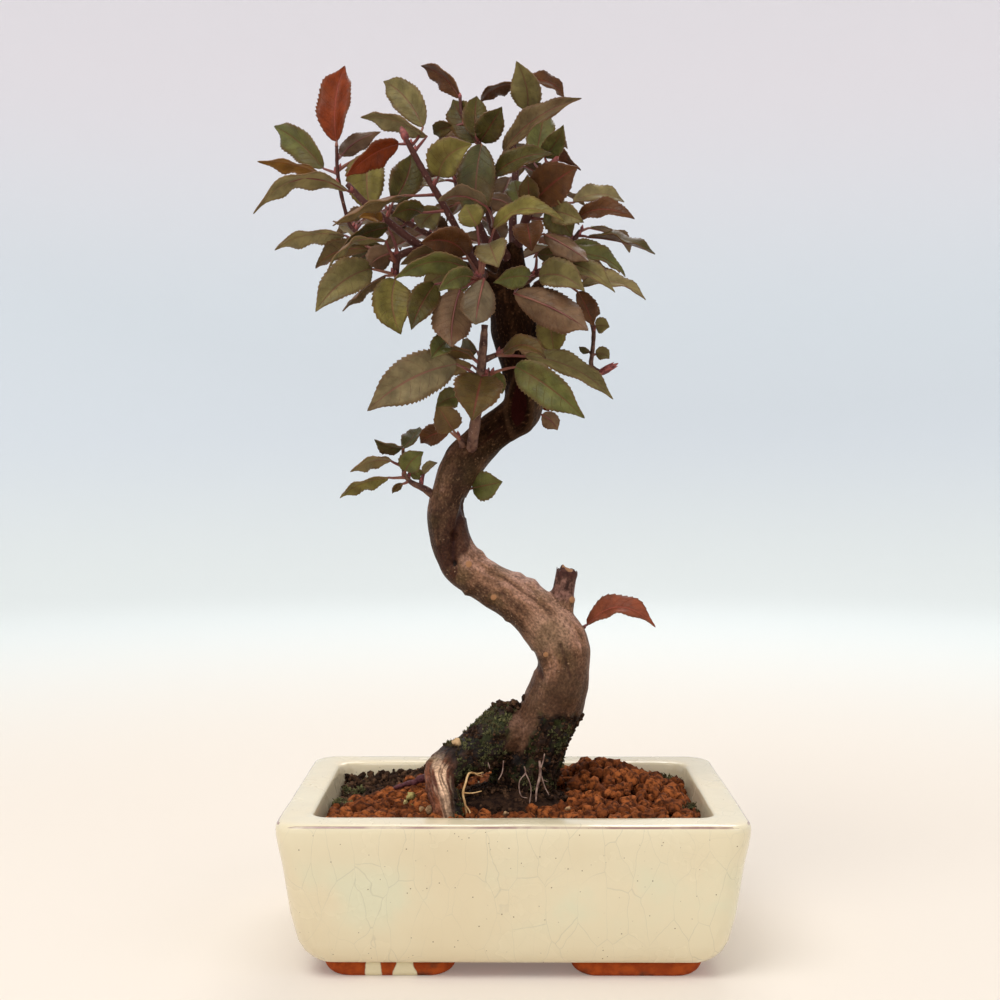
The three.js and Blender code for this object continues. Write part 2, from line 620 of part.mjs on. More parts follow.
// The point of a shoot's stems that is nearest to a place a little below the leaf's base
function nearestOnStems(stems, leaf) {
  const lines = stems.map((line) => line.map(([x, height, depth]) => seen(x, height, depth)));
  const nearest = (target) => {
    let best = null;
    for (const line of lines) {
      for (let i = 0; i + 1 < line.length; i += 1) {
        const point = new THREE.Line3(line[i], line[i + 1])
          .closestPointToPoint(target, true, new THREE.Vector3());
        if (!best || point.distanceTo(target) < best.distanceTo(target)) best = point;
      }
    }
    return best;
  };
  const gap = nearest(leaf.base).distanceTo(leaf.base);
  return nearest(leaf.base.clone().add(new THREE.Vector3(0, 0, -0.5 * gap)));
}

function bud([baseX, baseHeight, baseDepth, tipX, tipHeight, tipDepth]) {
  const line = BUD_RINGS.map(([along, radius]) => [
    THREE.MathUtils.lerp(baseX, tipX, along),
    THREE.MathUtils.lerp(baseHeight, tipHeight, along),
    THREE.MathUtils.lerp(baseDepth, tipDepth, along),
    radius,
  ]);
  return limb(line, STEM_SIDES, 1);
}

function shootSolid(stems, leaves, budEnds) {
  const solids = stems.map((line) => limb(line, STEM_SIDES, 1));
  for (const leaf of leaves) {
    solids.push(leafSolid(leaf, nearestOnStems(stems, leaf)));
  }
  if (budEnds) solids.push(bud(budEnds));
  return join(solids);
}

// Leaves round the back of a stem, each facing up and drooping at its tip
function backLeaves({ stem, leaves, arc, seed }) {
  const curve = new THREE.CatmullRomCurve3(stem.map(([x, height, depth]) => seen(x, height, depth)));
  const up = new THREE.Vector3(0, 0, 1);
  const { lengthSpread, stalk, bow, droop, droopSpread, firstPlace, turnSpread } = BACK_LEAF;
  return Array.from({ length: leaves }, (_, i) => {
    const along = firstPlace + ((1 - firstPlace) * (i + 1)) / leaves;
    const angle = Math.PI * THREE.MathUtils.lerp(arc[0], arc[1], (i * GOLDEN_SECTION) % 1);
    const out = new THREE.Vector3(Math.cos(angle), Math.sin(angle), BACK_LEAF.lift).normalize();
    const length = BACK_LEAF.length * (1 + lengthSpread * (draw(i, seed) - 0.5));
    const base = curve.getPoint(along).addScaledVector(out, stalk);
    const tip = base.clone().addScaledVector(out, length);
    tip.z -= length * (droop + droopSpread * draw(i, seed + 0.1));
    const turn = THREE.MathUtils.degToRad(turnSpread * (draw(i, seed + 0.2) - 0.5));
    return makeLeaf(base, tip, up, bow, length * BACK_LEAF.ratio, turn);
  });
}

// Pot

function roundedRing(height, halfLength, halfWidthOf, radius, stepsPerCorner) {
  const ring = [];
  for (let corner = 0; corner < 4; corner += 1) {
    const signX = corner === 0 || corner === 3 ? 1 : -1;
    const signY = corner < 2 ? 1 : -1;
    for (let step = 0; step <= stepsPerCorner; step += 1) {
      const angle = ((corner + step / stepsPerCorner) * Math.PI) / 2;
      ring.push(new THREE.Vector3(
        signX * (halfLength - radius) + radius * Math.cos(angle),
        signY * (halfWidthOf - radius) + radius * Math.sin(angle),
        height,
      ));
    }
  }
  return ring;
}

function potCavity(shrink) {
  const rings = POT_INSIDE.map(([height, halfLength, halfWidthOf, radius], i) =>
    roundedRing(i === 0 ? height + shrink : height, halfLength - shrink, halfWidthOf - shrink, radius,
      FOOT_CORNER_STEPS));
  return loft(rings);
}

function potSolid() {
  let pot = loft(POT_OUTSIDE.map((ring) => roundedRing(...ring, POT_CORNER_STEPS)));
  for (const signX of [-1, 1]) {
    for (const signY of [-1, 1]) {
      const foot = loft(FOOT_RINGS.map((ring) => roundedRing(...ring, FOOT_CORNER_STEPS)));
      pot = pot.add(foot.translate([signX * FOOT_MIDDLE.x, signY * FOOT_MIDDLE.y, 0]));
    }
  }
  pot = pot.subtract(potCavity(0));
  for (const signX of [-1, 1]) {
    const { radius } = DRAIN_HOLE;
    const hole = new THREE.CylinderGeometry(radius, radius, 4 * POT_FLOOR, ROUND_SIDES);
    hole.rotateX(Math.PI / 2);
    hole.translate(signX * DRAIN_HOLE.x, 0, 0);
    pot = pot.subtract(solidFromGeometry(hole));
  }
  return pot;
}

// A square of plastic net that keeps the soil in over a drain hole
function drainNet(signX) {
  const { side, thickness, hole, pitch } = DRAIN_MESH;
  const height = POT_FLOOR + GAP + thickness / 2;
  const plate = new THREE.BoxGeometry(side, side, thickness);
  plate.translate(signX * DRAIN_HOLE.x, 0, height);
  let net = solidFromGeometry(plate);
  for (const row of [-0.5, 0.5]) {
    for (const column of [-0.5, 0.5]) {
      const opening = new THREE.BoxGeometry(hole, hole, 4 * thickness);
      opening.translate(signX * DRAIN_HOLE.x + column * pitch, row * pitch, height);
      net = net.subtract(solidFromGeometry(opening));
    }
  }
  return net;
}

function drainNetSpace(signX) {
  const side = DRAIN_MESH.side + 2 * GAP;
  const space = new THREE.BoxGeometry(side, side, 2 * (DRAIN_MESH.thickness + 2 * GAP));
  space.translate(signX * DRAIN_HOLE.x, 0, POT_FLOOR);
  return solidFromGeometry(space);
}

// Soil

function hill(x, y, [middleX, middleY, reachX, reachY, rise]) {
  return rise * Math.exp(-(((x - middleX) / reachX) ** 2) - ((y - middleY) / reachY) ** 2);
}

function soilHeight(x, y) {
  return SOIL_HILLS.reduce((height, one) => height + hill(x, y, one), SOIL_LEVEL);
}

// A block with a grainy top: the points are by turns the crown of a grain and a dip between grains
function grainBlock() {
  const countX = Math.ceil(SOIL_BLOCK.length / GRAIN_PITCH);
  const countY = Math.ceil(SOIL_BLOCK.width / GRAIN_PITCH);
  const top = [];
  for (let j = 0; j <= countY; j += 1) {
    for (let i = 0; i <= countX; i += 1) {
      const index = j * (countX + 1) + i;
      const x = (i - countX / 2 + GRAIN_SHIFT * (draw(index, 5) - 0.5)) * GRAIN_PITCH;
      const y = (j - countY / 2 + GRAIN_SHIFT * (draw(index, 6) - 0.5)) * GRAIN_PITCH;
      const crown = (i + j) % 2 === 0;
      const rise = GRAIN_RISE * (crown ? 0.6 + draw(index, 7) : -draw(index, 7));
      top.push(new THREE.Vector3(x, y, soilHeight(x, y) + rise));
    }
  }
  const at = (i, j) => j * (countX + 1) + i;
  const faces = [];
  for (let j = 0; j < countY; j += 1) {
    for (let i = 0; i < countX; i += 1) {
      const [a, b, c, d] = [at(i, j), at(i + 1, j), at(i + 1, j + 1), at(i, j + 1)];
      if ((i + j) % 2 === 0) faces.push([a, b, d], [b, c, d]);
      else faces.push([a, b, c], [a, c, d]);
    }
  }
  const rim = [];
  for (let i = 0; i < countX; i += 1) rim.push(at(i, 0));
  for (let j = 0; j < countY; j += 1) rim.push(at(countX, j));
  for (let i = countX; i > 0; i -= 1) rim.push(at(i, countY));
  for (let j = countY; j > 0; j -= 1) rim.push(at(0, j));
  const foot = rim.map((index) => new THREE.Vector3(top[index].x, top[index].y, SOIL_BLOCK.underside));
  const middle = top.length + foot.length;
  rim.forEach((a, i) => {
    const next = (i + 1) % rim.length;
    const b = rim[next];
    faces.push([a, top.length + i, top.length + next], [a, top.length + next, b]);
    faces.push([middle, top.length + next, top.length + i]);
  });
  return solidFromFaces([...top, ...foot, new THREE.Vector3(0, 0, SOIL_BLOCK.underside)], faces);
}

function rootBallSolid(grow) {
  const { x, y, z, halfLength, halfWidth: halfAcross, halfHeight } = ROOT_BALL;
  const ball = new THREE.SphereGeometry(1, ROUND_SIDES, 8);
  ball.rotateX(Math.PI / 2);
  ball.scale(halfLength + grow, halfAcross + grow, halfHeight + grow);
  ball.translate(x, y, z);
  return solidFromGeometry(ball);
}

// Trunk

function trunkSolid(grow) {
  const limbs = TRUNK_LIMBS.map(({ sides, line }) => limb(line, sides, 1, grow));
  return join([limb(TRUNK_LINE, TRUNK_SIDES, 1, grow), ...limbs]);
}

function woundSolid() {
  const { x, height, depth, halfWidth: halfAcross, halfHeight, halfDepth } = TRUNK_WOUND;
  const hollow = new THREE.SphereGeometry(1, 8, 6);
  hollow.rotateX(Math.PI / 2);
  hollow.scale(halfAcross, halfDepth, halfHeight);
  const middle = seen(x, height, depth);
  hollow.translate(middle.x, middle.y, middle.z);
  return solidFromGeometry(hollow);
}

// The whole plant in its pot

const trunkSpace = trunkSolid(GAP);
const rootBallSpace = rootBallSolid(GAP);
const netSpaces = join([-1, 1].map(drainNetSpace));
const soilSpace = potCavity(GAP);

const rootBall = rootBallSolid(0).intersect(soilSpace).subtract(netSpaces).subtract(trunkSpace);
const grains = grainBlock().intersect(soilSpace).subtract(netSpaces).subtract(rootBallSpace)
  .subtract(trunkSpace);

const plant = new THREE.Group();
plant.add(
  node('pot', potSolid(), GLAZE),
  node('drain_net_left', drainNet(-1), PLASTIC_NET),
  node('drain_net_right', drainNet(1), PLASTIC_NET),
  node('root_ball', rootBall, OLD_SOIL),
  node('akadama', grains, AKADAMA),
  node('trunk', trunkSolid(0).subtract(woundSolid()), BARK),
);

for (const { name, stems, leaves, bud: budEnds } of SHOOTS) {
  const solid = shootSolid(stems, leaves.map(seenLeaf), budEnds).subtract(trunkSpace);
  plant.add(node(name, solid, name.startsWith('leaf') ? LEAF_BRONZE : LEAF_OLIVE));
}
for (const shoot of BACK_SHOOTS) {
  const solid = shootSolid([shoot.stem], backLeaves(shoot)).subtract(trunkSpace);
  plant.add(node(shoot.name, solid, LEAF_OLIVE));
}

// The middle of the whole object's box stands over the origin
const box = new THREE.Box3().setFromObject(plant);
plant.position.set(-(box.min.x + box.max.x) / 2, -(box.min.y + box.max.y) / 2, 0);

const bonsai = new THREE.Group();
bonsai.add(plant);

export default bonsai;
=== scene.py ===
# %% [markdown]
# # Dressing an apple bonsai
#
# A small S-curved apple tree stands in a glazed pot. Its solids come from a CAD model and are the
# fixed frame. Each piece made here takes the place of one of them, keeps its form and adds what is
# too fine for a solid: leaf teeth and veins, bark, single grains of soil, moss, glaze. The tables
# are in millimetres from the middle of the pot's underside, and Blender works in metres.

import math
import random

import bmesh
import bpy
from mathutils import Matrix, Vector, noise
from mathutils.bvhtree import BVHTree
from mathutils.kdtree import KDTree


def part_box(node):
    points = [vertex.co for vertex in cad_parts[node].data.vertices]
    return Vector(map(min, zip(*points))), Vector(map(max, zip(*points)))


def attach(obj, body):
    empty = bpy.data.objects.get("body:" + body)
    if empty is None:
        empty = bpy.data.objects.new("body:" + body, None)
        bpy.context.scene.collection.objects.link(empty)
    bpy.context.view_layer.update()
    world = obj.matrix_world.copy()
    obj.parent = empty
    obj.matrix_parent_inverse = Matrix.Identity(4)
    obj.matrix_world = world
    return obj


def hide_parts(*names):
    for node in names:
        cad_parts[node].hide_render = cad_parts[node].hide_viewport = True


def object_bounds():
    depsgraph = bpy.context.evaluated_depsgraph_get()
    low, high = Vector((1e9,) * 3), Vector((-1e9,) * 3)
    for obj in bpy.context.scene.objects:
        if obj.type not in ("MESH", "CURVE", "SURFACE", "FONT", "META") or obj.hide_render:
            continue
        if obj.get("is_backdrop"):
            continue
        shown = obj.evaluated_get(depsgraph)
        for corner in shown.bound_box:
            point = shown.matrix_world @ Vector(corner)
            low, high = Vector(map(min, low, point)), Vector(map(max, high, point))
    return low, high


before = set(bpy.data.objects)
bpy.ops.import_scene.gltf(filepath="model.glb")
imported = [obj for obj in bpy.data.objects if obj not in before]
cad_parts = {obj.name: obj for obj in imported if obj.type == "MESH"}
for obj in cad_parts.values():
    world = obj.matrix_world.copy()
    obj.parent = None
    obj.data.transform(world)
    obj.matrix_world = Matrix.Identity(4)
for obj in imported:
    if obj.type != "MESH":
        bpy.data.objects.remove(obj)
cad_box = [list(corner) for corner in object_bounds()]
pot_low, pot_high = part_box("pot")
POT_MIDDLE = Vector(((pot_low[0] + pot_high[0]) / 2, (pot_low[1] + pot_high[1]) / 2, 0))
print("nodes:", len(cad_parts), "pot middle:", [round(1000 * v, 2) for v in POT_MIDDLE])

# %% [markdown]
# ## Places
#
# The tree was measured from the front, so its tables give each point as it is seen there: x and
# height on the upright plane through the middle of the pot, then the depth behind that plane. A
# point further back is moved away from the eye's axis, so that it still shows at the same spot.

# %% Places in millimetres and places as seen
EYE = Vector((-2, -606, 200.4))
HASH = (12.9898, 78.233, 43758.5453)


def at(x, y, z):
    return POT_MIDDLE + Vector((x, y, z)) / 1000


def seen(x, height, depth):
    reach = (depth - EYE.y) / -EYE.y
    return at(EYE.x + (x - EYE.x) * reach, depth, EYE.z + (height - EYE.z) * reach)


def seen_from_front(point):
    """The inverse of seen(): x and height on the middle plane, and the depth, in millimetres."""
    x, depth, height = (point - POT_MIDDLE) * 1000
    reach = (depth - EYE.y) / -EYE.y
    return EYE.x + (x - EYE.x) / reach, EYE.z + (height - EYE.z) / reach, depth


def draw(index, series):
    """A number from 0 to 1 that is always the same for the same index and series."""
    value = math.sin(index * HASH[0] + series * HASH[1]) * HASH[2]
    return value - math.floor(value)


def points(table):
    """Rows of numbers, from a text in which commas part the rows."""
    return [[float(number) for number in row.split()] for row in table.split(",")]


def clamp(value):
    return min(1, max(0, value))


def ramp(value, start, end):
    """0 before start, 1 beyond end and straight in between."""
    return clamp((value - start) / (end - start))


print("the eye stands at", [round(v, 3) for v in at(*EYE)])

# %% [markdown]
# ## Camera
#
# The camera stands where the tree was looked at from, a little above the middle of the trunk, and
# looks down by less than two degrees. A longer lens from further back would flatten the pot's
# perspective.

# %% The camera
CAMERA_PITCH, CAMERA_YAW = math.radians(-1.66), math.radians(0.32)

camera = bpy.data.objects.new("camera", bpy.data.cameras.new("camera"))
camera.data.lens = 52.08
camera.data.sensor_width = 36
camera.location = at(*EYE)
camera.rotation_euler = (math.pi / 2 + CAMERA_PITCH, 0, CAMERA_YAW)
bpy.context.scene.collection.objects.link(camera)
bpy.context.scene.camera = camera
print("camera at", [round(v, 3) for v in camera.location])

# %% [markdown]
# ## Finishes
#
# A finish is a small tree of shader nodes around one Principled shader. Each value in that tree
# knows how to add, multiply and mix, so a pattern reads like arithmetic. Patterns use Object
# coordinates, which are metres on the piece itself, or an attribute of the mesh where they follow
# a leaf or a limb.


# %% A value in a finish
class Value:
    """The output of a node. Arithmetic with it adds further nodes."""

    def __init__(self, finish, socket):
        self.finish, self.socket = finish, socket

    def math(self, operation, other=0.0):
        return self.finish.add("Math", {0: self, 1: other}, operation=operation)

    def __add__(self, other):
        return self.math("ADD", other)

    def __sub__(self, other):
        return self.math("SUBTRACT", other)

    def __rsub__(self, other):
        return self.finish.add("Math", {0: other, 1: self}, operation="SUBTRACT")

    def __mul__(self, other):
        return self.math("MULTIPLY", other)

    def __abs__(self):
        return self.math("ABSOLUTE")

    def fit(self, low, high, new_low=0.0, new_high=1.0):
        inputs = {"Value": self, "From Min": low, "From Max": high,
                  "To Min": new_low, "To Max": new_high}
        return self.finish.add("MapRange", inputs, interpolation_type="SMOOTHSTEP")

    def under(self, *layers):
        """This tone under layers of another tone and its share, the lowest first."""
        for tone, share in layers:
            self = self.finish.mix(self, tone, share)
        return self

    def scaled(self, factor):
        return self.finish.add("VectorMath", {0: self, "Scale": factor}, operation="SCALE")

    def stretch(self, x, y, z):
        return self.finish.add("Mapping", {"Vector": self, "Scale": (x, y, z)})

    def split(self):
        outputs = self.finish.add("SeparateXYZ", {0: self}).socket.node.outputs
        return [Value(self.finish, socket) for socket in outputs]


print("a value can:", ", ".join(name for name in vars(Value) if name[0] != "_"))


# %% The finish itself: one Principled shader and the nodes that feed it
class Finish:
    def __init__(self, name):
        self.material = bpy.data.materials.new(name)
        self.material.use_nodes = True
        self.tree = self.material.node_tree
        self.tree.nodes.clear()
        shader = self.add("BsdfPrincipled")
        self.shader = shader.socket.node
        self.feed(self.tree.nodes.new("ShaderNodeOutputMaterial").inputs["Surface"], shader)
        self.where = self.add("TexCoord", output="Object")
        self.x, self.y, self.z = self.where.split()

    def feed(self, socket, value):
        if isinstance(value, Value):
            self.tree.links.new(value.socket, socket)
        elif socket.type == "RGBA":
            socket.default_value = (*value, 1.0)
        else:
            socket.default_value = value

    def add(self, kind, inputs=None, output=0, **settings):
        node = self.tree.nodes.new("ShaderNode" + kind)
        for key, value in settings.items():
            setattr(node, key, value)
        for key, value in (inputs or {}).items():
            self.feed(node.inputs[key], value)
        return Value(self, node.outputs[output])

    def set(self, **values):
        for key, value in values.items():
            self.feed(self.shader.inputs[key.replace("_", " ")], value)

    def speckle(self, size, detail=3.0, where=None, output="Fac"):
        """Soft noise from 0 to 1 with spots of about this size in millimetres."""
        inputs = {"Vector": where or self.where, "Scale": 1000 / size, "Detail": detail}
        return self.add("TexNoise", inputs, output)

    def cells(self, size, feature="F1", where=None):
        inputs = {"Vector": where or self.where, "Scale": 1000 / size}
        return self.add("TexVoronoi", inputs, "Distance", feature=feature)

    def mix(self, first, second, share):
        return self.add("Mix", {0: share, 6: first, 7: second}, 2, data_type="RGBA")

    def attribute(self, name, output="Fac"):
        return self.add("Attribute", None, output, attribute_name=name)

    def bump(self, height, depth, over=None):
        """Relief of this depth in millimetres, over another relief if there is one."""
        inputs = {"Height": height, "Distance": depth / 1000, "Strength": 1.0}
        return self.add("Bump", inputs | ({"Normal": over} if over else {}))


print("a finish can:", ", ".join(name for name in vars(Finish) if name[0] != "_"))


# %% A simple finish of spots in two tones
def two_tone(name, dark, light, spots, edges, roughness, grain, relief, detail=3.0):
    """A finish of spots in two tones, with a fine grain. Sizes are in millimetres."""
    finish = Finish(name)
    finish.set(Base_Color=finish.mix(dark, light, finish.speckle(spots, detail).fit(*edges)))
    finish.set(Roughness=roughness, Normal=finish.bump(finish.speckle(grain), relief))
    return finish


print("two_tone takes", two_tone.__code__.co_argcount, "values")

# %% [markdown]
# ## Pieces
#
# Every form is worked in a bmesh first. At the end it becomes an object at the origin, which is
# fixed to the frame and hides the solid it stands for.


# %% From a bmesh to a piece
def to_object(name, bm, *finishes):
    """Turns a bmesh into an object at the origin, with smooth faces."""
    mesh = bpy.data.meshes.new(name)
    for face in bm.faces:
        face.smooth = True
    bm.to_mesh(mesh)
    bm.free()
    for finish in finishes:
        mesh.materials.append(finish.material)
    piece = bpy.data.objects.new(name, mesh)
    bpy.context.scene.collection.objects.link(piece)
    return piece


def settle(piece, slot, *nodes):
    """Fixes a finished piece to the frame and hides the solids it stands for."""
    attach(piece, "root")
    for node in nodes:
        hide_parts(node)
    piece.data.calc_loop_triangles()
    print(f"{piece.name}: {len(piece.data.loop_triangles)} triangles")


def applied(piece):
    """The piece's mesh with its modifiers worked in."""
    graph = bpy.context.evaluated_depsgraph_get()
    mesh = bpy.data.meshes.new_from_object(piece.evaluated_get(graph))
    old = piece.data
    piece.modifiers.clear()
    piece.data = mesh
    bpy.data.meshes.remove(old)
    return mesh


print("piece helpers ready")

# %% [markdown]
# ## Floor and backdrop
#
# A round sweep, as in a photo studio: a flat floor that curves up into a wall with no corner, so
# that no horizon shows from any side. One profile of edges is spun once round the pot.

# %% The sweep's profile, spun round the pot
SWEEP_FLOOR, SWEEP_CURVE, SWEEP_WALL = 1.5, 0.7, 1.6

sweep_bm = bmesh.new()
profile = [sweep_bm.verts.new((x, 0, 0)) for x in (0, SWEEP_FLOOR)]
sweep_bm.edges.new(profile)
corner = bmesh.ops.spin(sweep_bm, geom=[profile[1]], cent=(SWEEP_FLOOR, 0, SWEEP_CURVE),
                        axis=(0, -1, 0), dvec=(0, 0, 0), angle=math.pi / 2, steps=16)
last = next(item for item in corner["geom_last"] if isinstance(item, bmesh.types.BMVert))
wall = bmesh.ops.extrude_vert_indiv(sweep_bm, verts=[last])["verts"]
bmesh.ops.translate(sweep_bm, verts=wall, vec=(0, 0, SWEEP_WALL))
bmesh.ops.spin(sweep_bm, geom=sweep_bm.verts[:] + sweep_bm.edges[:], cent=(0, 0, 0), axis=(0, 0, 1),
               dvec=(0, 0, 0), angle=2 * math.pi, steps=96, use_merge=True)
bmesh.ops.remove_doubles(sweep_bm, verts=sweep_bm.verts[:], dist=1e-5)
bmesh.ops.recalc_face_normals(sweep_bm, faces=sweep_bm.faces[:])
if sweep_bm.faces[0].normal.z < 0:
    bmesh.ops.reverse_faces(sweep_bm, faces=sweep_bm.faces[:])
print("sweep faces:", len(sweep_bm.faces))

# %% A pale paper finish for the sweep
paper = Finish("pale_paper")
from_middle = (paper.x.math("POWER", 2.0) + paper.y.math("POWER", 2.0)).math("SQRT")
floor_tone = paper.mix((0.665, 0.60, 0.52), (0.705, 0.745, 0.725), from_middle.fit(0.25, 1.3))
wall_tone = paper.mix((0.65, 0.695, 0.73), (0.72, 0.685, 0.71), paper.z.fit(0.42, 0.95))
paper_tone = paper.mix(floor_tone, wall_tone, paper.z.fit(-0.03, 0.27))
paper.set(Base_Color=paper_tone, Roughness=0.9, Specular_IOR_Level=0.2)
paper.set(Emission_Color=paper_tone, Emission_Strength=0.25)
sweep = to_object("sweep", sweep_bm, paper)
sweep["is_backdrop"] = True
print("radius of the sweep in metres:", SWEEP_FLOOR + SWEEP_CURVE)

# %% [markdown]
# ## Light
#
# The tree was lit softly from all round, a little more from above and from the left. So the sky
# gives an even glow, and wide area lamps add a soft direction without hard shadows.

# %% Sky and lamps
world = bpy.data.worlds.new("studio")
world.use_nodes = True
sky = world.node_tree.nodes["Background"].inputs
sky["Color"].default_value = (1.0, 0.985, 0.97, 1)
sky["Strength"].default_value = 0.42
bpy.context.scene.world = world
# Name, place in metres, height it points at, size and power
LAMPS = (("lamp_left", (-0.55, -0.75, 1.55), 180, 1.0, 17),
         ("lamp_right", (1.0, -0.8, 0.9), 150, 0.9, 2.4),
         ("lamp_back", (0.2, 1.0, 1.3), 250, 0.9, 8.5))
for name, place, aim, size, power in LAMPS:
    lamp = bpy.data.objects.new(name, bpy.data.lights.new(name, "AREA"))
    lamp.data.shape = "DISK"
    lamp.data.size = size
    lamp.data.energy = power
    lamp.location = place
    lamp.rotation_euler = (at(0, 0, aim) - Vector(place)).to_track_quat("-Z", "Y").to_euler()
    bpy.context.scene.collection.objects.link(lamp)
bpy.context.scene.view_settings.view_transform = "Standard"
print("lamps:", len(LAMPS))

# %% [markdown]
# ## The pot
#
# The real pot is a pressed clay box on four low feet, dipped in a cream crackle glaze. It could be
# lathed or cut from a block, but a pressed form is simplest as one rounded plate that is extruded
# ring by ring: up the outside, over the rim and down the inside. That leaves one closed wall.

# %% Pull a face out, grow a rounded plate through rings of other sizes, and slice the result
CORNER_SEGMENTS = 7


def pull_out(bm, end, matrix, keep_old):
    """Extrudes a face and moves the copy. The old face would be a wall inside, so it goes."""
    made = bmesh.ops.extrude_face_region(bm, geom=[end])["geom"]
    if not keep_old:
        bmesh.ops.delete(bm, geom=[end], context="FACES_ONLY")
    new_end = next(item for item in made if isinstance(item, bmesh.types.BMFace))
    bmesh.ops.transform(bm, matrix=matrix, verts=new_end.verts[:])
    return new_end


def rounded_stack(bm, rings, radius, middle):
    """Rings are (height, half length, half width) in millimetres."""
    height, half_length, half_width = rings[0]
    plate = bmesh.ops.create_grid(bm, x_segments=1, y_segments=1, size=1)["verts"]
    size = Matrix.Diagonal((half_length / 1000, half_width / 1000, 1, 1))
    place = Matrix.Translation(middle + Vector((0, 0, height / 1000)))
    bmesh.ops.transform(bm, matrix=place @ size, verts=plate)
    others = set(bm.faces) - set(plate[0].link_faces)
    bmesh.ops.bevel(bm, geom=plate, offset=radius / 1000, offset_type="OFFSET", profile=0.5,
                    segments=CORNER_SEGMENTS, affect="VERTICES", material=-1)
    end = next(face for face in bm.faces if face not in others)
    for old, new in zip(rings, rings[1:]):
        step = Matrix.Translation(middle + Vector((0, 0, new[0] / 1000)))
        step @= Matrix.Diagonal((new[1] / old[1], new[2] / old[2], 1, 1))
        step @= Matrix.Translation(-middle - Vector((0, 0, old[0] / 1000)))
        end = pull_out(bm, end, step, keep_old=old is rings[0])


def slice_up(bm, pitch, *counts):
    """Cuts a mesh across x and y, so often to each side, to give its flat faces points."""
    for axis, count in zip(((1, 0, 0), (0, 1, 0)), counts):
        for step in range(-count, count + 1):
            bmesh.ops.bisect_plane(bm, geom=bm.verts[:] + bm.edges[:] + bm.faces[:], dist=1e-6,
                                   plane_co=POT_MIDDLE + Vector(axis) * step * pitch, plane_no=axis)
    bmesh.ops.recalc_face_normals(bm, faces=bm.faces[:])


print("steps round a corner:", CORNER_SEGMENTS)

# %% The pot's rings: up the outside, over the rim, down the inside
POT_OUTSIDE = points("""
6 75.5 53.5, 6.5 77.5 55, 7.6 79.4 56.2, 10 81.7 57.4, 14 83.8 58.6, 25 86.4 60.3, 35 87.8 61.6,
45 89.2 62.9, 52 90.6 64.3, 56.5 91.3 65, 57.5 91.3 65, 58.4 91.4 65.1, 60 91.3 65,
60.9 90.9 64.7, 61.5 90.3 64.1""")
POT_RIM = points("61.9 89.3 63.2, 62 87 61, 62 82 55.5, 61.9 79.4 52.2, 61.4 78.5 50.8")
POT_INSIDE = points("""
60.5 78 50.1, 58 77.7 49.7, 52 77 49, 35 74 46.6, 18 71.5 44.5, 15 69.5 42.9, 14 67 41""")
POT_CORNER, POT_PITCH = 8.4, 0.007

pot_bm = bmesh.new()
rim_mark = pot_bm.verts.layers.float.new("rim")
rounded_stack(pot_bm, POT_OUTSIDE + POT_RIM + POT_INSIDE, POT_CORNER, POT_MIDDLE)
slice_up(pot_bm, POT_PITCH, 11, 8)
print("pot faces:", len(pot_bm.faces))

# %% Press marks: the walls of a hand-pressed pot are never quite flat
PRESS_DEPTH, PRESS_SIZE = 0.00035, 0.03
RIM_HALF = (0.0913, 0.065)

pot_bm.normal_update()
for vert in pot_bm.verts:
    height = 1000 * vert.co.z
    if height > 7:
        vert.co += vert.normal * PRESS_DEPTH * (noise.noise(vert.co / PRESS_SIZE) - 0.7)
    off = vert.co - POT_MIDDLE
    outside = max(abs(off.x) / RIM_HALF[0], abs(off.y) / RIM_HALF[1])
    vert[rim_mark] = 1.0 if 60.7 < height < 61.7 and outside > 0.97 else 0.0
print("rim vertices marked:", sum(vert[rim_mark] > 0 for vert in pot_bm.verts))

# %% [markdown]
# The four feet are unglazed. They are stacks of their own that reach a little into the body, where
# the clay was pressed on. The drain holes are cut with a Boolean modifier before the feet are
# added, because a bmesh has no operator that drills.

# %% Drill the drain holes
DRAIN_X, DRAIN_RADIUS = 40, 0.009

drill_bm = bmesh.new()
for sign in (-1, 1):
    bmesh.ops.create_cone(drill_bm, cap_ends=True, segments=40, depth=0.03,
                          radius1=DRAIN_RADIUS, radius2=DRAIN_RADIUS,
                          matrix=Matrix.Translation(at(sign * DRAIN_X, 0, 10)))
drill = to_object("drill", drill_bm)
drilled = to_object("drilled", pot_bm)
cut = drilled.modifiers.new("cut", "BOOLEAN")
cut.operation, cut.solver, cut.object = "DIFFERENCE", "EXACT", drill
pot_bm = bmesh.new()
pot_bm.from_mesh(applied(drilled))
for piece in (drilled, drill):
    bpy.data.objects.remove(piece)
print("drilled pot faces:", len(pot_bm.faces))

# %% Add the feet
FOOT_RINGS = points("""
0 22 9.5, 0.5 23 10.2, 1.4 24.2 10.8, 2.6 25.1 11.1, 4.5 26 11.3, 6.6 26.7 11.4""")
FOOT_X, FOOT_Y, FOOT_CORNER = 48, 41.5, 7
GLAZED, BARE = 0, 1

for face in pot_bm.faces:
    underside = face.normal.z < -0.9 and face.calc_center_median().z < 0.007
    face.material_index = BARE if underside else GLAZED
for x in (-FOOT_X, FOOT_X):
    for y in (-FOOT_Y, FOOT_Y):
        known = set(pot_bm.faces)
        rounded_stack(pot_bm, FOOT_RINGS, FOOT_CORNER, at(x, y, 0))
        foot_faces = [face for face in pot_bm.faces if face not in known]
        bmesh.ops.recalc_face_normals(pot_bm, faces=foot_faces)
        for face in foot_faces:
            face.material_index = BARE
print("pot with feet:", len(pot_bm.faces), "faces")

# %% [markdown]
# ## Crackle glaze and bare clay
#
# The glaze is a cream with faint blue-green clouds at mid-height, a net of fine grey cracks and a
# few brown pin specks. On the rim's sharp edge it runs thin and the clay shows through as a
# purple-brown line. The feet are bare terracotta, and two runs of glaze have dripped on the left
# front one.

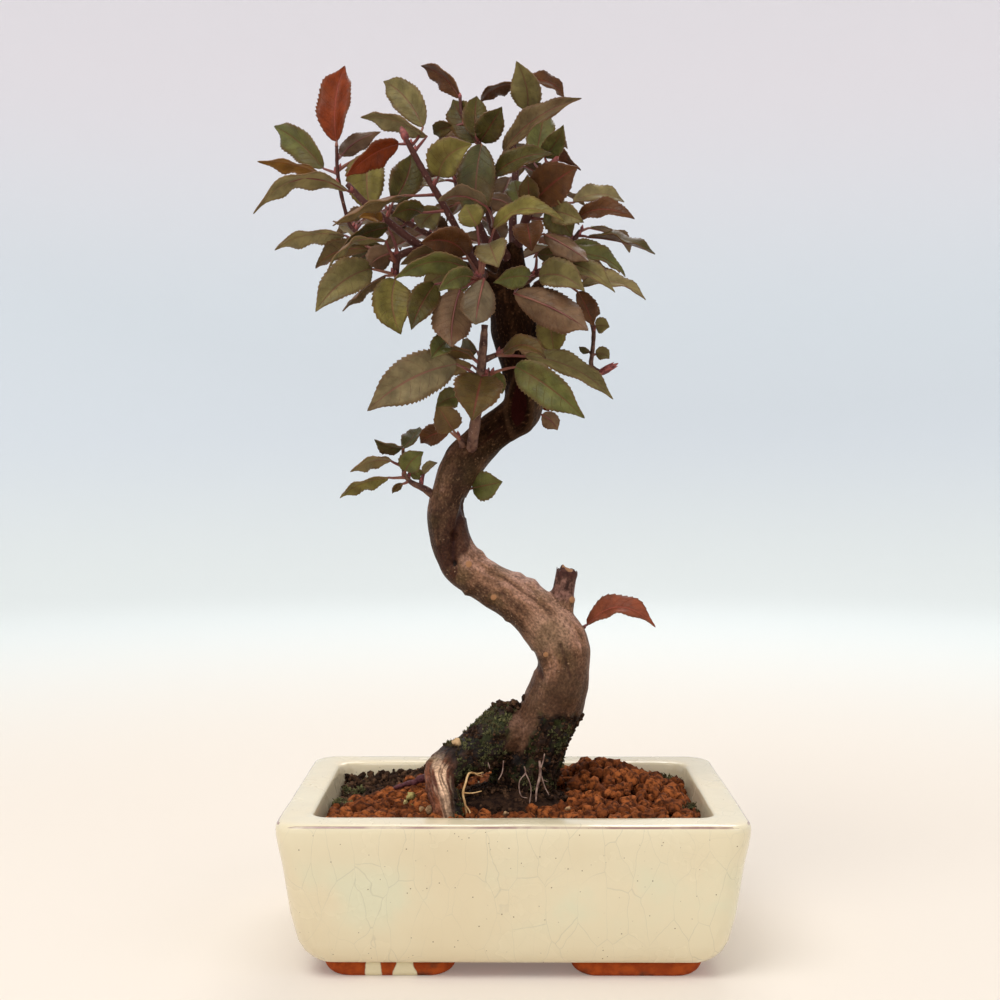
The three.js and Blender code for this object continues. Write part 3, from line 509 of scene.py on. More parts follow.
# %% The glaze
glaze = Finish("crackle_glaze")
cream = glaze.mix((0.76, 0.65, 0.435), (0.785, 0.695, 0.48), glaze.speckle(70).fit(0.35, 0.65))
band = glaze.z.fit(0.014, 0.03) * glaze.z.fit(0.052, 0.038)
clouds = glaze.speckle(34, detail=4).fit(0.47, 0.68) * band
warp = glaze.speckle(1000 / 90, detail=2.0, output="Color").scaled(0.0035)
bent = glaze.add("VectorMath", {0: glaze.where, 1: warp})
crack = glaze.cells(6.5, "DISTANCE_TO_EDGE", bent).fit(0, 0.022, 1, 0)
long_crack = glaze.cells(10, "DISTANCE_TO_EDGE", bent.stretch(1, 1, 0.42)).fit(0, 0.014, 1, 0)
cracks = (crack * glaze.speckle(24).fit(0.42, 0.66, 0, 0.12)
          + long_crack * glaze.speckle(30).fit(0.36, 0.6, 0.06, 0.4))
specks = glaze.cells(2.6).fit(0.06, 0.13, 1, 0) * glaze.speckle(4).fit(0.52, 0.58, 0, 0.95)
edge_line = glaze.attribute("rim").fit(0.78, 0.97) * glaze.speckle(13).fit(0.36, 0.6, 0.5, 0.95)
glaze.set(Base_Color=cream.under(
    ((0.65, 0.715, 0.52), clouds * 0.38), ((0.45, 0.42, 0.32), cracks),
    ((0.17, 0.10, 0.06), specks), ((0.30, 0.17, 0.15), edge_line)))
glaze.set(Roughness=glaze.speckle(20).fit(0.3, 0.7, 0.17, 0.3), Specular_IOR_Level=0.5)
waves = glaze.bump(glaze.speckle(12, detail=2), 0.1)
glaze.set(Coat_Weight=0.25, Coat_Roughness=0.12, Normal=glaze.bump(1.0 - cracks, 0.04, waves))
print("nodes of the glaze:", len(glaze.tree.nodes))

# %% The bare clay of the feet, with two runs of glaze
clay = Finish("bare_terracotta")
clay_tone = clay.mix((0.30, 0.045, 0.006), (0.42, 0.075, 0.010),
                     clay.speckle(3, detail=5).fit(0.3, 0.7))
stain = clay.speckle(9, detail=6).fit(0.52, 0.72)


def drip(x, half_width, spread):
    """A run of glaze down the foot's front that widens towards its lower end."""
    reach = clay.z.fit(0.006, 0.001, half_width / 1000, (half_width + spread) / 1000)
    reach += clay.speckle(5) * 0.0016
    return (abs(clay.x - (POT_MIDDLE.x + x / 1000)) - reach).fit(0.0, 0.0005, 1.0, 0.0)


front = clay.y.fit(POT_MIDDLE.y - 0.045, POT_MIDDLE.y - 0.047)
runs = drip(-54, 1.7, 0.4).math("MAXIMUM", drip(-42, 2.2, 1.6)) * front
clay.set(Base_Color=clay_tone.under(((0.10, 0.035, 0.015), stain), ((0.78, 0.70, 0.47), runs)))
clay.set(Roughness=0.85 - runs * 0.6, Specular_IOR_Level=0.2)
clay.set(Normal=clay.bump(runs, 0.4, clay.bump(clay.speckle(0.9, detail=4), 0.18)))
settle(to_object("dressed_pot", pot_bm, glaze, clay), "glaze", "pot")

# %% [markdown]
# ## Nets over the drain holes
#
# Two squares of plastic net keep the soil in. Their solids are right as they are, so they only get
# a dull plastic finish with a little dust.

# %% Plastic for the two nets
plastic = Finish("net_plastic")
dust = plastic.speckle(4, detail=5).fit(0.45, 0.7)
plastic.set(Base_Color=plastic.mix((0.02, 0.022, 0.02), (0.10, 0.07, 0.05), dust))
plastic.set(Roughness=dust.fit(0, 1, 0.45, 0.8), Normal=plastic.bump(plastic.speckle(1.5), 0.08))
for name in ("drain_net_left", "drain_net_right"):
    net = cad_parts[name]
    net.data.materials.clear()
    net.data.materials.append(plastic.material)
print("nets finished")

# %% [markdown]
# ## The soil bed
#
# Below the loose grains the pot is full. One block fills it, shaped like the pot's inside with a
# thin gap all round, and its top follows the mounds of the planting: high on the right, low at the
# back left.

# %% The bed and its mounds
SOIL_LEVEL = 55
# Middle x and y, reach along x and y, lift
SOIL_HILLS = points("38 14 22 26 12, 72 28 16 26 -1, -68 26 18 26 -4, 30 -30 30 14 2")
BED_RINGS = points("15.6 67.5 41.5, 18 71 44, 35 73.4 46, 50 76.2 48.2, 51 76.3 48.3")
BED_CORNER, BED_PITCH, BED_BELOW_GRAINS = 7.5, 0.004, 2.2


def soil_height(x, y):
    rise = 0
    for middle_x, middle_y, reach_x, reach_y, lift in SOIL_HILLS:
        rise += lift * math.exp(-((x - middle_x) / reach_x) ** 2 - ((y - middle_y) / reach_y) ** 2)
    return SOIL_LEVEL + rise


bed_bm = bmesh.new()
rounded_stack(bed_bm, BED_RINGS, BED_CORNER, POT_MIDDLE)
slice_up(bed_bm, BED_PITCH, 19, 12)
for vert in bed_bm.verts:
    if vert.co.z > 0.0508:
        x, y = 1000 * (vert.co.x - POT_MIDDLE.x), 1000 * (vert.co.y - POT_MIDDLE.y)
        vert.co.z = (soil_height(x, y) - BED_BELOW_GRAINS) / 1000
bmesh.ops.recalc_face_normals(bed_bm, faces=bed_bm.faces[:])
print("bed faces:", len(bed_bm.faces))

# %% [markdown]
# ## Akadama
#
# Akadama is a fired clay in rounded, crumbly red-brown grains of 3 to 6 mm. A dozen different
# lumps are worked from small icospheres, and copies of them lie in two loose layers. Each lump has
# few faces, because there are over a thousand of them; the finish adds the pores.

# %% Lumps: icospheres with a few broken faces, pushed in and out by noise
LUMP_FLATS, FLAT_REACH = 6, 0.72


def keep_toned(bm, share):
    """Turns a bmesh into a mesh whose points all carry this share as their tone."""
    mesh = bpy.data.meshes.new("small")
    bm.to_mesh(mesh)
    bm.free()
    tone = mesh.attributes.new("tone", "FLOAT", "POINT")
    tone.data.foreach_set("value", [share] * len(mesh.vertices))
    return mesh


def make_lumps(count, levels, roughness, seed):
    random.seed(seed)
    lumps = []
    for index in range(count):
        bm = bmesh.new()
        bmesh.ops.create_icosphere(bm, subdivisions=levels, radius=1)
        offset = Vector((index * 7.3 + seed, 1.7, 4.1))
        flats = [Vector([random.uniform(-1, 1) for _ in range(3)]).normalized()
                 for _ in range(LUMP_FLATS)]
        for vert in bm.verts:
            for flat in flats:
                vert.co -= flat * max(0, vert.co.dot(flat) - FLAT_REACH)
            swell = roughness * noise.noise(vert.co * 1.3 + offset)
            vert.co *= 1 + swell + 0.5 * roughness * noise.noise(vert.co * 3 + offset)
        stretch = [random.uniform(*span) for span in ((0.8, 1.15), (0.8, 1.1), (0.8, 1))]
        bmesh.ops.scale(bm, vec=stretch, verts=bm.verts[:])
        lumps.append(keep_toned(bm, index / (count - 1)))
    return lumps


def scatter(lumps, places, seed):
    """One bmesh with a turned copy of a lump at each (place in metres, radius in mm)."""
    random.seed(seed)
    bm = bmesh.new()
    for place, radius in places:
        turn = Matrix.Rotation(random.uniform(0, 6.28), 4, random.choice("XYZ"))
        turn @= Matrix.Rotation(random.uniform(0, 6.28), 4, "Z")
        copy = random.choice(lumps).copy()
        copy.transform(Matrix.Translation(place) @ turn @ Matrix.Scale(radius / 1000, 4))
        bm.from_mesh(copy)
        bpy.data.meshes.remove(copy)
    return bm


akadama_lumps = make_lumps(12, 2, 0.45, 3)
print("lump faces:", len(akadama_lumps[0].polygons))

# %% Where the grains lie
GRAIN_PITCH = 4.7
GRAIN_SIZES = (1.3, 1.7, 2.1, 2.5, 2.9, 3.4, 4.0)
GRAIN_LAYERS = ((0.0, -0.9), (0.5, 1.0))
BED_HALF = (76.6, 48.6)
# A point and the slope of the line behind which the recess is bare of grains
RECESS_EDGE = (-74, -8, 1.67)
MOSSY_SPOTS = points("76 -14 7, 71 47 8")
# Middle and half axes of the old soil, and how far the grains mix into it
OLD_SOIL, OLD_SOIL_MIX = (-4, -2, 24, 21), 1.45


def recess_line(x):
    return RECESS_EDGE[1] + RECESS_EDGE[2] * (x - RECESS_EDGE[0])


def old_soil_share(x, y):
    """1 on the old soil round the trunk, 0 out on the clean akadama."""
    away = math.hypot((x - OLD_SOIL[0]) / OLD_SOIL[2], (y - OLD_SOIL[1]) / OLD_SOIL[3])
    return ramp(away, OLD_SOIL_MIX, 1)


random.seed(11)
grain_places = []
for shift, level in GRAIN_LAYERS:
    for column in range(-17, 18):
        for row in range(-11, 12):
            radius = random.choice(GRAIN_SIZES)
            x = (column + shift + random.uniform(-0.4, 0.4)) * GRAIN_PITCH
            y = (row + shift + random.uniform(-0.4, 0.4)) * GRAIN_PITCH
            inside = abs(x) < BED_HALF[0] - radius and abs(y) < BED_HALF[1] - radius
            corner_cut = abs(x) / BED_HALF[0] + abs(y) / BED_HALF[1] < 1.9
            mossy = any(math.hypot(x - spot[0], y - spot[1]) < spot[2] for spot in MOSSY_SPOTS)
            bare = y > recess_line(x) or mossy
            if inside and corner_cut and not bare and random.random() > old_soil_share(x, y):
                height = soil_height(x, y) + level + random.uniform(-0.8, 0.8)
                grain_places.append((at(x, y, height), radius))
grains_bm = scatter(akadama_lumps, grain_places, 12)
print("grains:", len(grain_places))


# %% The finish of the grains and of the bed under them
def crumbly(name, dark, middle, light, pore_size):
    """A dry, porous finish in three tones that change from lump to lump."""
    finish = Finish(name)
    tone = finish.mix(middle, light, finish.attribute("tone").fit(0, 1))
    tone = finish.mix(dark, tone, finish.speckle(2.2, detail=5).fit(0.35, 0.62))
    pores = finish.cells(pore_size).fit(0.1, 0.45)
    finish.set(Base_Color=finish.mix(tone, dark, pores.fit(0, 0.5, 0.6, 0)))
    finish.set(Roughness=0.95, Specular_IOR_Level=0.12)
    finish.set(Normal=finish.bump(pores, 0.12, finish.bump(finish.speckle(0.7, detail=5), 0.3)))
    return finish


akadama = crumbly("akadama_clay", (0.055, 0.015, 0.005), (0.17, 0.044, 0.011),
                  (0.37, 0.105, 0.027), pore_size=1.5)
settle(to_object("akadama_bed", bed_bm, akadama), "akadama", "akadama")
settle(to_object("akadama_grains", grains_bm, akadama), "akadama", "akadama")

# %% [markdown]
# ## Old soil round the trunk
#
# The tree still stands in the dark soil of its nursery pot. It is a low dome that the surface root
# and the trunk grow out of, so it starts from a sphere that is flattened and roughened, with dark
# crumbs strewn over it.

# %% The dome and its crumbs
ROOT_BALL, ROOT_BALL_HALF = (-2, -4, 41), (36, 30, 22.4)
CRUMBS, RECESS_CRUMBS = 1600, 1100

ball_bm = bmesh.new()
bmesh.ops.create_icosphere(ball_bm, subdivisions=5, radius=1)
for vert in ball_bm.verts:
    push = 1 + 0.05 * noise.noise(vert.co * 3.1) + 0.03 * noise.noise(vert.co * 9)
    vert.co = at(*(middle + half * push * part
                   for middle, half, part in zip(ROOT_BALL, ROOT_BALL_HALF, vert.co)))


def dome_height(x, y):
    off_x, off_y = (x - ROOT_BALL[0]) / ROOT_BALL_HALF[0], (y - ROOT_BALL[1]) / ROOT_BALL_HALF[1]
    return ROOT_BALL[2] + ROOT_BALL_HALF[2] * math.sqrt(max(0, 1 - (off_x ** 2 + off_y ** 2)))


random.seed(21)
crumb_places = []
for _ in range(RECESS_CRUMBS):
    x = random.uniform(-75.5, -38)
    y = random.uniform(recess_line(x) - 2, 47.8)
    height = soil_height(x, y) + random.uniform(-1.6, 0.4)
    height += 4.6 * max(0, (y - 40) / 7.8) * random.uniform(0.6, 1)
    crumb_places.append((at(x, y, height), random.choice((0.9, 1.2, 1.6, 2))))
while len(crumb_places) < CRUMBS:
    x, y = random.gauss(-4, 15), random.gauss(-4, 13)
    if abs(x + 4) < 36 and abs(y + 4) < 30:
        radius = random.choice((0.7, 0.9, 1.1, 1.5))
        crumb_places.append((at(x, y, max(dome_height(x, y), soil_height(x, y)) + 0.4), radius))
crumb_lumps = make_lumps(6, 1, 0.5, 5)
crumbs_bm = scatter(crumb_lumps, crumb_places, 22)
old_soil = crumbly("old_soil", (0.012, 0.005, 0.003), (0.040, 0.019, 0.010),
                   (0.115, 0.058, 0.030), pore_size=1.1)
settle(to_object("old_soil_dome", ball_bm, old_soil), "old_soil", "root_ball")
settle(to_object("old_soil_crumbs", crumbs_bm, old_soil), "old_soil")

# %% [markdown]
# ## The trunk
#
# A young apple trunk that swings to the right, far to the left and back under the crown, with one
# thick surface root, a cut stub and the first branches. Each limb is a tube along a smooth line,
# and a voxel remesh fuses them, so the joints get the soft collars that real wood has. Sculpted
# grooves follow.

# %% The trunk and its limbs: x, height, depth and radius of each point
def curves(table):
    """Lines from a table. A comma parts two points, and a slash parts two lines."""
    return [points(line) for line in table.split("/")]


LIMB_LINES = curves("""
0 40 4 12, 3 56 3 13.6, 5.5 70 1 13.3, 10.5 84 -1 13.3, 16.5 96 -3 12.6, 19.8 106 -5 11.8,
21.3 115 -6 11.2, 19.5 123.5 -6 11.9, 12.5 132.3 -5 11.3, 2.5 141 -3 9.9, -10.5 148.3 0 8.6,
-19.8 154.5 2 9.2, -25 162.5 3 9.1, -27.6 172 3 7.9, -27.8 181 2 7.4, -24.8 190.5 0 8.2,
-19.5 199.5 -1 8.4, -11.5 208 -1 8.1, -3.5 214.5 0 7.9, 3 220 0 8.4, 5 228 0 8.6, 3.5 240 1 8.6,
1 253 2 9.8, -0.5 264 2 9.6, -0.5 276 2 6.6, 1 290 2 3.4 /
8 88 2 10, -4 85 -4 11, -15 77 -9 9.5, -26 71.5 -16 7.8, -31 64 -24 6.2, -28.5 55 -31 5.9,
-26 44 -34 5 /
-18 72 0 3, -27 69 10 2.2, -36 66 15 1.8, -45 63 18 1.4, -55 60 19 1.1 /
19 133 -5 6.4, 21.2 144 -5 4.9, 22.7 154.3 -5 4.6 /
1 268 1 5, -13 276 -3 3.6, -28 283 -6 2.6, -40 289 -8 2 /
3 262 3 4.5, 13 266 6 3, 25 264 8 2 /
1 270 3 4.5, -8 280 16 3, -16 288 26 2 /
2 258 4 4.5, 6 266 15 3, 12 274 24 2""")
STUB = 3
print("limbs:", len(LIMB_LINES), "points:", sum(len(line) for line in LIMB_LINES))


# %% A smooth line through seen points, and a tube along it
def smooth_line(rows, step=1.0):
    """(place, radius) samples a step of millimetres apart, on a centripetal Catmull-Rom curve."""
    knots = [seen(*row[:3]) for row in rows]
    radii = [row[3] / 1000 for row in rows]
    ends = [2 * knots[0] - knots[1]] + knots + [2 * knots[-1] - knots[-2]]
    samples = []
    for index in range(len(knots) - 1):
        p0, p1, p2, p3 = ends[index:index + 4]
        d0, d1, d2 = [max(1e-6, (b - a).length) ** 0.5 for a, b in ((p0, p1), (p1, p2), (p2, p3))]
        start = ((p1 - p0) / d0 - (p2 - p0) / (d0 + d1) + (p2 - p1) / d1) * d1
        end = ((p2 - p1) / d1 - (p3 - p1) / (d1 + d2) + (p3 - p2) / d2) * d1
        count = max(1, round(1000 * (p2 - p1).length / step))
        for part in range(count):
            t = part / count
            place = (p1 * (2 * t ** 3 - 3 * t ** 2 + 1) + start * (t ** 3 - 2 * t ** 2 + t)
                     + p2 * (3 * t ** 2 - 2 * t ** 3) + end * (t ** 3 - t ** 2))
            samples.append((place, radii[index] + (radii[index + 1] - radii[index]) * t))
    return samples + [(knots[-1], radii[-1])]


def frames_along(samples):
    """For each sample its place, radius and the directions across, beside and along the tube."""
    places = [place for place, radius in samples]
    across = (places[1] - places[0]).orthogonal()
    frames = []
    for index, (place, radius) in enumerate(samples):
        before, after = places[max(index - 1, 0)], places[min(index + 1, len(places) - 1)]
        tangent = (after - before).normalized()
        across = (across - tangent * across.dot(tangent)).normalized()
        frames.append((place, radius, across, tangent.cross(across), tangent))
    return frames


def tube(samples, sides):
    """A closed tube in a bmesh of its own: a disc that is extruded from frame to frame."""
    bm = bmesh.new()
    matrices = []
    for place, radius, across, beside, tangent in frames_along(samples):
        turn = Matrix((across * radius, beside * radius, tangent)).transposed().to_4x4()
        matrices.append(Matrix.Translation(place) @ turn)
    disc = bmesh.ops.create_circle(bm, cap_ends=True, segments=sides, radius=1, matrix=matrices[0])
    end = disc["verts"][0].link_faces[0]
    for old, new in zip(matrices, matrices[1:]):
        end = pull_out(bm, end, new @ old.inverted(), keep_old=old is matrices[0])
    bmesh.ops.recalc_face_normals(bm, faces=bm.faces[:])
    return bm


def join_into(target, bm):
    """Moves one bmesh into another."""
    mesh = bpy.data.meshes.new("part")
    bm.to_mesh(mesh)
    bm.free()
    target.from_mesh(mesh)
    bpy.data.meshes.remove(mesh)


print("samples along the trunk:", len(smooth_line(LIMB_LINES[0])))

# %% [markdown]
# The remesh turns the overlapping tubes into one skin of even quads. Smoothing takes off the voxel
# steps and rounds each fork.

# %% Build the limbs and fuse them
LIMB_SIDES, VOXEL = 28, 0.0008

wood_bm = bmesh.new()
limb_frames = []
for rows in LIMB_LINES:
    samples = smooth_line(rows)
    limb_frames.append(frames_along(samples))
    join_into(wood_bm, tube(samples, LIMB_SIDES))
wood = to_object("dressed_trunk", wood_bm)
fuse = wood.modifiers.new("fuse", "REMESH")
fuse.mode, fuse.voxel_size = "VOXEL", VOXEL
bark_bm = bmesh.new()
bark_bm.from_mesh(applied(wood))
for _ in range(4):
    bmesh.ops.smooth_vert(bark_bm, verts=bark_bm.verts[:], factor=0.5,
                          use_axis_x=True, use_axis_y=True, use_axis_z=True)
print("bark vertices:", len(bark_bm.verts))

# %% [markdown]
# Bark runs along the limb that carries it. So each point looks up the nearest limb and stores
# where it is across and along that limb. Both the carved relief and the finish read this `grain`.

# %% The grain of the wood
trees, along_limb = [], []
for frames in limb_frames:
    tree = KDTree(len(frames))
    lengths = [0.0]
    for index, (place, *rest) in enumerate(frames):
        tree.insert(place, index)
        if index:
            lengths.append(lengths[-1] + (place - frames[index - 1][0]).length)
    tree.balance()
    trees.append(tree)
    along_limb.append(lengths)


def grain_at(point):
    """Which limb is nearest, and the place across and along it in metres."""
    reaches = []
    for limb, tree in enumerate(trees):
        place, index, distance = tree.find(point)
        reaches.append((distance / limb_frames[limb][index][1], limb, index))
    _, limb, index = min(reaches)
    place, _, across, beside, tangent = limb_frames[limb][index]
    off = point - place
    length = along_limb[limb][index] + off.dot(tangent)
    return limb, Vector((off.dot(across), off.dot(beside), length))


print("grain of the first point:", grain_at(seen(0, 100, 0)))

# %% [markdown]
# ## Carving the bark
#
# The relief has soft lumps, fine ridges along the grain and a coarser, mossy bark near the soil.
# Then come the marks of this tree's life: the hollow wound under the crown, the twist groove on
# the left bend, cracks, pits, plain knobs and round scars where twigs were cut.

# %% Tables of the marks, all as seen
# The wound's middle x and height, half width and half height
WOUND = (2.4, 223, 4.1, 10.8)
WOUND_DEPTH, WOUND_RIM = 3.2, 0.7
# Marks are cut where the skin doesn't face further back than this
FRONT_LIMIT = 0.35
# Metres that part the grain of one limb from that of the next
LIMB_SHIFT = 0.4
# Rough, rusty bark: middle x and height, half width and half height
RUST = points("-28 156 6 11, -20.5 170 3.6 12, -24.3 167 5 11")
# A groove or crack: its two ends, half width and depth
GROOVES = points("""
-20 182 -24.5 168 1.9 1.5, -24.5 168 -25.5 157 2.2 1.7, 4.2 223 6 216 0.7 0.8,
8.5 118 12 108 1.8 0.9, -4 150.5 10 140.5 1.0 0.35, 20 122 24.5 108 1.2 0.4,
-14 205.5 -5 213.5 1.0 0.3""")
# A plain knob: x, height, radius, lift
KNOBS = points("""
-12.3 161.5 3.2 1.1, 9 149 3.6 1.2, -19.7 143.6 2.2 0.9, -3 132 1.8 0.7, -31 178 4 0.6,
3 152 3 0.7, 27.5 120 4 0.7, -30 186 2 0.8""")
# A round scar or pit: x, height, radius, lift (less than 0 is a pit)
SCARS = points("""
-18.5 156 1.8 0.5, -8 142 1.5 0.4, 24.8 141 1.7 0.5, -25 156 1.5 -1.2, -47.5 296 1.6 0.4,
14 118 1.4 0.3""")


print("marks:", len(GROOVES), "grooves,", len(KNOBS), "knobs,", len(SCARS), "scars and pits")


# %% Distances and noise for the relief
def to_segment(x, height, start, end):
    line = Vector(end) - Vector(start)
    t = clamp((Vector((x, height)) - Vector(start)).dot(line) / line.length_squared)
    return (Vector(start) + line * t - Vector((x, height))).length


def crust_at(point, x, height):
    """1 where dark soil and moss cover the foot of the trunk, 0 on the bare bark above."""
    beside = max(4 - (99 - height) / 3 - x, x - 13 + 0.45 * (97 - height), 78 - height)
    low = 93.5 - height if x > 4 else 101 - height
    return clamp((min(low, beside) + 2.2 * noise.noise(point / 0.006)) / 2.5)


def noise_along(grain, width, length, shift=0):
    return noise.noise(Vector((grain.x / width, grain.y / width, grain.z / length + shift)))


grain_layer = bark_bm.verts.layers.float_vector.new("grain")
shade_layer, scar_layer, wound_layer, rust_layer, crust_layer, stub_layer = [
    bark_bm.verts.layers.float.new(name)
    for name in ("shade", "scar", "wound", "rust", "crust", "stub")]
print("layers of the bark:", bark_bm.verts.layers.float.keys())


# %% The relief of the bark, from the mossy foot to the shaded crown
def bark_push(vert, limb, grain, x, height):
    """Fills a point's layers and returns how far its bark is pushed out, in millimetres."""
    push = (0.9 * noise.noise(vert.co / 0.014) + 0.45 * noise.noise(vert.co / 0.006)
            + 0.2 * noise_along(grain, 0.003, 0.02, 7 * limb))
    for knob_x, knob_height, radius, lift in KNOBS:
        push += lift * max(0, 1 - math.hypot(x - knob_x, height - knob_height) / radius)
    vert[crust_layer] = crust_at(vert.co, x, height)
    rugged = max(0.9 * vert[crust_layer], 0.3 * ramp(height, 104, 88))
    ridges = 1.3 * noise_along(grain, 0.0042, 0.011, 3 * limb) - 0.1
    push += rugged * (ridges + 0.9 * noise.noise(vert.co / 0.0026))
    rooted = ramp(x, -22, -26) * ramp(height, 80, 76)
    push += rooted * 0.9 * noise_along(grain, 0.0021, 0.016)
    # Painted shade: the bark is darkened under the crown and, half as much, on the left bend
    bend = ramp(x, -13, -22) * ramp(height, 150, 163)
    vert[shade_layer] = max(ramp(height, 176, 210), 0.5 * bend)
    # Less painted shade on the right side of the upper trunk
    if 200 < height < 240:
        vert[shade_layer] -= 0.45 * ramp(x, 6, 10) * math.sin(math.pi * (height - 200) / 40)
    if limb == STUB:
        vert[shade_layer] = 0
        vert[stub_layer] = ramp(height, 138, 143) + ramp(height, 149, 151.5)
        flat_place = Vector((vert.co.x, vert.co.y, 0)) / 0.0024
        vert.co.z += 0.0026 * noise.noise(flat_place) * ramp(height, 147, 152)
    vert[rust_layer] = max(1 - math.hypot((x - row[0]) / row[2], (height - row[1]) / row[3]) ** 2
                           for row in RUST)
    return push * 0.4 if limb > STUB else push


print("shade of the highest limb's start:", ramp(LIMB_LINES[4][0][1], 176, 210))


# %% The wound, grooves and scars on the side that is seen
def marked(vert, push, x, height):
    """The push with the marks of the tree's life."""
    narrow = 1 - 0.5 * clamp((height - WOUND[1]) / WOUND[3])
    wound = math.hypot((x - WOUND[0]) / (WOUND[2] * narrow), (height - WOUND[1]) / WOUND[3])
    if wound < 1:
        push -= WOUND_DEPTH * math.sqrt(1 - wound)
        # The wound's own dark red-brown wood, deepened as painted shade of the hollow
        vert[wound_layer] = min(1, 4 * (1 - wound))
    elif wound < 1 + WOUND_RIM:
        rim = math.sin(math.pi * (wound - 1) / WOUND_RIM)
        push += 0.5 * rim
        # A painted highlight on the raised rim
        vert[wound_layer] = -rim
    for *ends, half, groove_depth in GROOVES:
        away = to_segment(x, height, ends[:2], ends[2:]) / half
        if away < 1:
            push -= groove_depth * (1 - away * away)
            # Painted shade in the groove
            vert[wound_layer] = max(vert[wound_layer], 0.55 * (1 - away))
    for scar_x, scar_height, radius, lift in SCARS:
        away = math.hypot(x - scar_x, height - scar_height) / radius
        if away < 1:
            push += lift * (1 - away ** 4)
            vert[scar_layer] = min(1, 2 * (1 - away)) * (1 if lift > 0 else -1)
    return push


bark_bm.normal_update()
moves = []
for vert in bark_bm.verts:
    limb, grain = grain_at(vert.co)
    x, height, _ = seen_from_front(vert.co)
    vert[grain_layer] = grain + Vector((0, 0, LIMB_SHIFT * limb))
    push = bark_push(vert, limb, grain, x, height)
    if vert.normal.y < FRONT_LIMIT:
        push = marked(vert, push, x, height)
    moves.append((vert, push / 1000))
for vert, push in moves:
    vert.co += vert.normal * push
print("carved vertices:", len(moves))

# %% The torn wood on top of the stub
stub_top = [vert for vert in bark_bm.verts if grain_at(vert.co)[0] == STUB
            and vert.normal.z > 0.75 and seen_from_front(vert.co)[1] > 151]
for vert in stub_top:
    split = noise.noise(vert.co / 0.0022)
    vert[scar_layer] = clamp(2.4 * split)
    shoulder = max(0, 1000 * (vert.co.x - POT_MIDDLE.x) - 22) / 5
    vert.co.z += 0.0016 * split - 0.0006 - 0.0024 * shoulder ** 2
print("points on the stub's cut:", len(stub_top))

# %% [markdown]
# Smooth apple bark is grey-brown with a pinkish skin, finely stippled, and pale specks that it
# breathes through. The finish paints it lighter and pinker where it faces the sky, as painted light
# from above, so it mixes its two tones by the surface's direction, and it paints a highlight on the
# lower right bend. Under the crown and on the left bend it is darkened as painted shade, and close
# to the soil it is nearly black with moss.

# %% The bark's patterns, its skin and its painted light
bark = Finish("apple_bark")
grain_where = bark.attribute("grain", "Vector")
shade, stub, wound, scar, rust, crust = [
    bark.attribute(name) for name in ("shade", "stub", "wound", "scar", "rust", "crust")]


def streaks(width, length, detail):
    """Noise along the grain, in streaks of this width and length in millimetres."""
    stretched = grain_where.stretch(1000 / width, 1000 / width, 1000 / length)
    return bark.speckle(1000, detail, stretched)


def right_of(x, further):
    """0 at one distance right of the pot's middle and 1 at another, both in metres."""
    return bark.x.fit(POT_MIDDLE.x + x, POT_MIDDLE.x + further)


stipple, coarse = bark.speckle(1.0, detail=6), bark.speckle(3.4, detail=5)
fleck, patchy, fibre = streaks(0.8, 1.5, 3.0), streaks(6, 15, 5.0), streaks(2.2, 17, 5.0)
upness = bark.add("NewGeometry", None, "Normal").split()[2]
# Painted light from above, broken up by patches: the skin is lighter and pinker where it faces up
# and darker where it faces down
bleach = upness + (patchy - 0.5) * 3.6 + (fibre - 0.5) * 1.2
# A painted highlight on the lower right bend of the trunk, broken up by the patches
lit_bend = right_of(0.003, 0.012) * right_of(0.027, 0.020)
lit_bend *= bark.z.fit(0.117, 0.125) * bark.z.fit(0.142, 0.132)
greenish = bark.speckle(13, detail=5).fit(0.46, 0.64)
breathing = bark.cells(1000, where=grain_where.stretch(1000 / 3.4, 1000 / 3.4, 1000 / 2.0))
specks = breathing.fit(0.09, 0.16, 1, 0) * bark.speckle(7).fit(0.5, 0.58)
skin = bark.mix((0.060, 0.025, 0.011), (0.235, 0.112, 0.060), bleach.fit(-0.6, 0.5)).under(
    ((0.42, 0.225, 0.155), bleach.fit(0.2, 1.1) * 0.85),
    ((0.085, 0.037, 0.018), coarse.fit(0.34, 0.5, 0.45, 0)),
    ((0.38, 0.22, 0.14), lit_bend * patchy.fit(0.36, 0.52, 0.15, 0.65)),
    ((0.036, 0.016, 0.008), fleck.fit(0.3, 0.5, 0.5, 0)),
    ((0.38, 0.22, 0.12), fleck.fit(0.56, 0.7, 0, 0.42)), ((0.095, 0.062, 0.022), greenish * 0.4),
    ((0.050, 0.013, 0.005), rust.fit(0.02, 0.5) * coarse.fit(0.3, 0.5, 0.5, 1) * 0.92),
    ((0.40, 0.25, 0.15), specks * 0.75))
print("nodes so far:", len(bark.tree.nodes))

# %% Painted shade, the stub, the foot of the trunk and the big root with its painted highlight
# The tone of the painted shade under the crown and on the left bend
shaded = bark.mix((0.010, 0.003, 0.001), (0.056, 0.022, 0.008), bleach.fit(-0.2, 1.4)).under(
    ((0.14, 0.070, 0.032), fleck.fit(0.56, 0.72, 0, 0.35)))
mottle = bark.speckle(2.2, detail=5) * 0.7 + fibre * 0.3
stub_tone = bark.mix((0.032, 0.010, 0.008), (0.21, 0.10, 0.075), mottle.fit(0.38, 0.6))
wet = bark.mix((0.006, 0.003, 0.002), (0.040, 0.018, 0.010), fibre.fit(0.4, 0.7)).under(
    ((0.030, 0.036, 0.008), bark.speckle(6, detail=7).fit(0.5, 0.6) * 0.7))
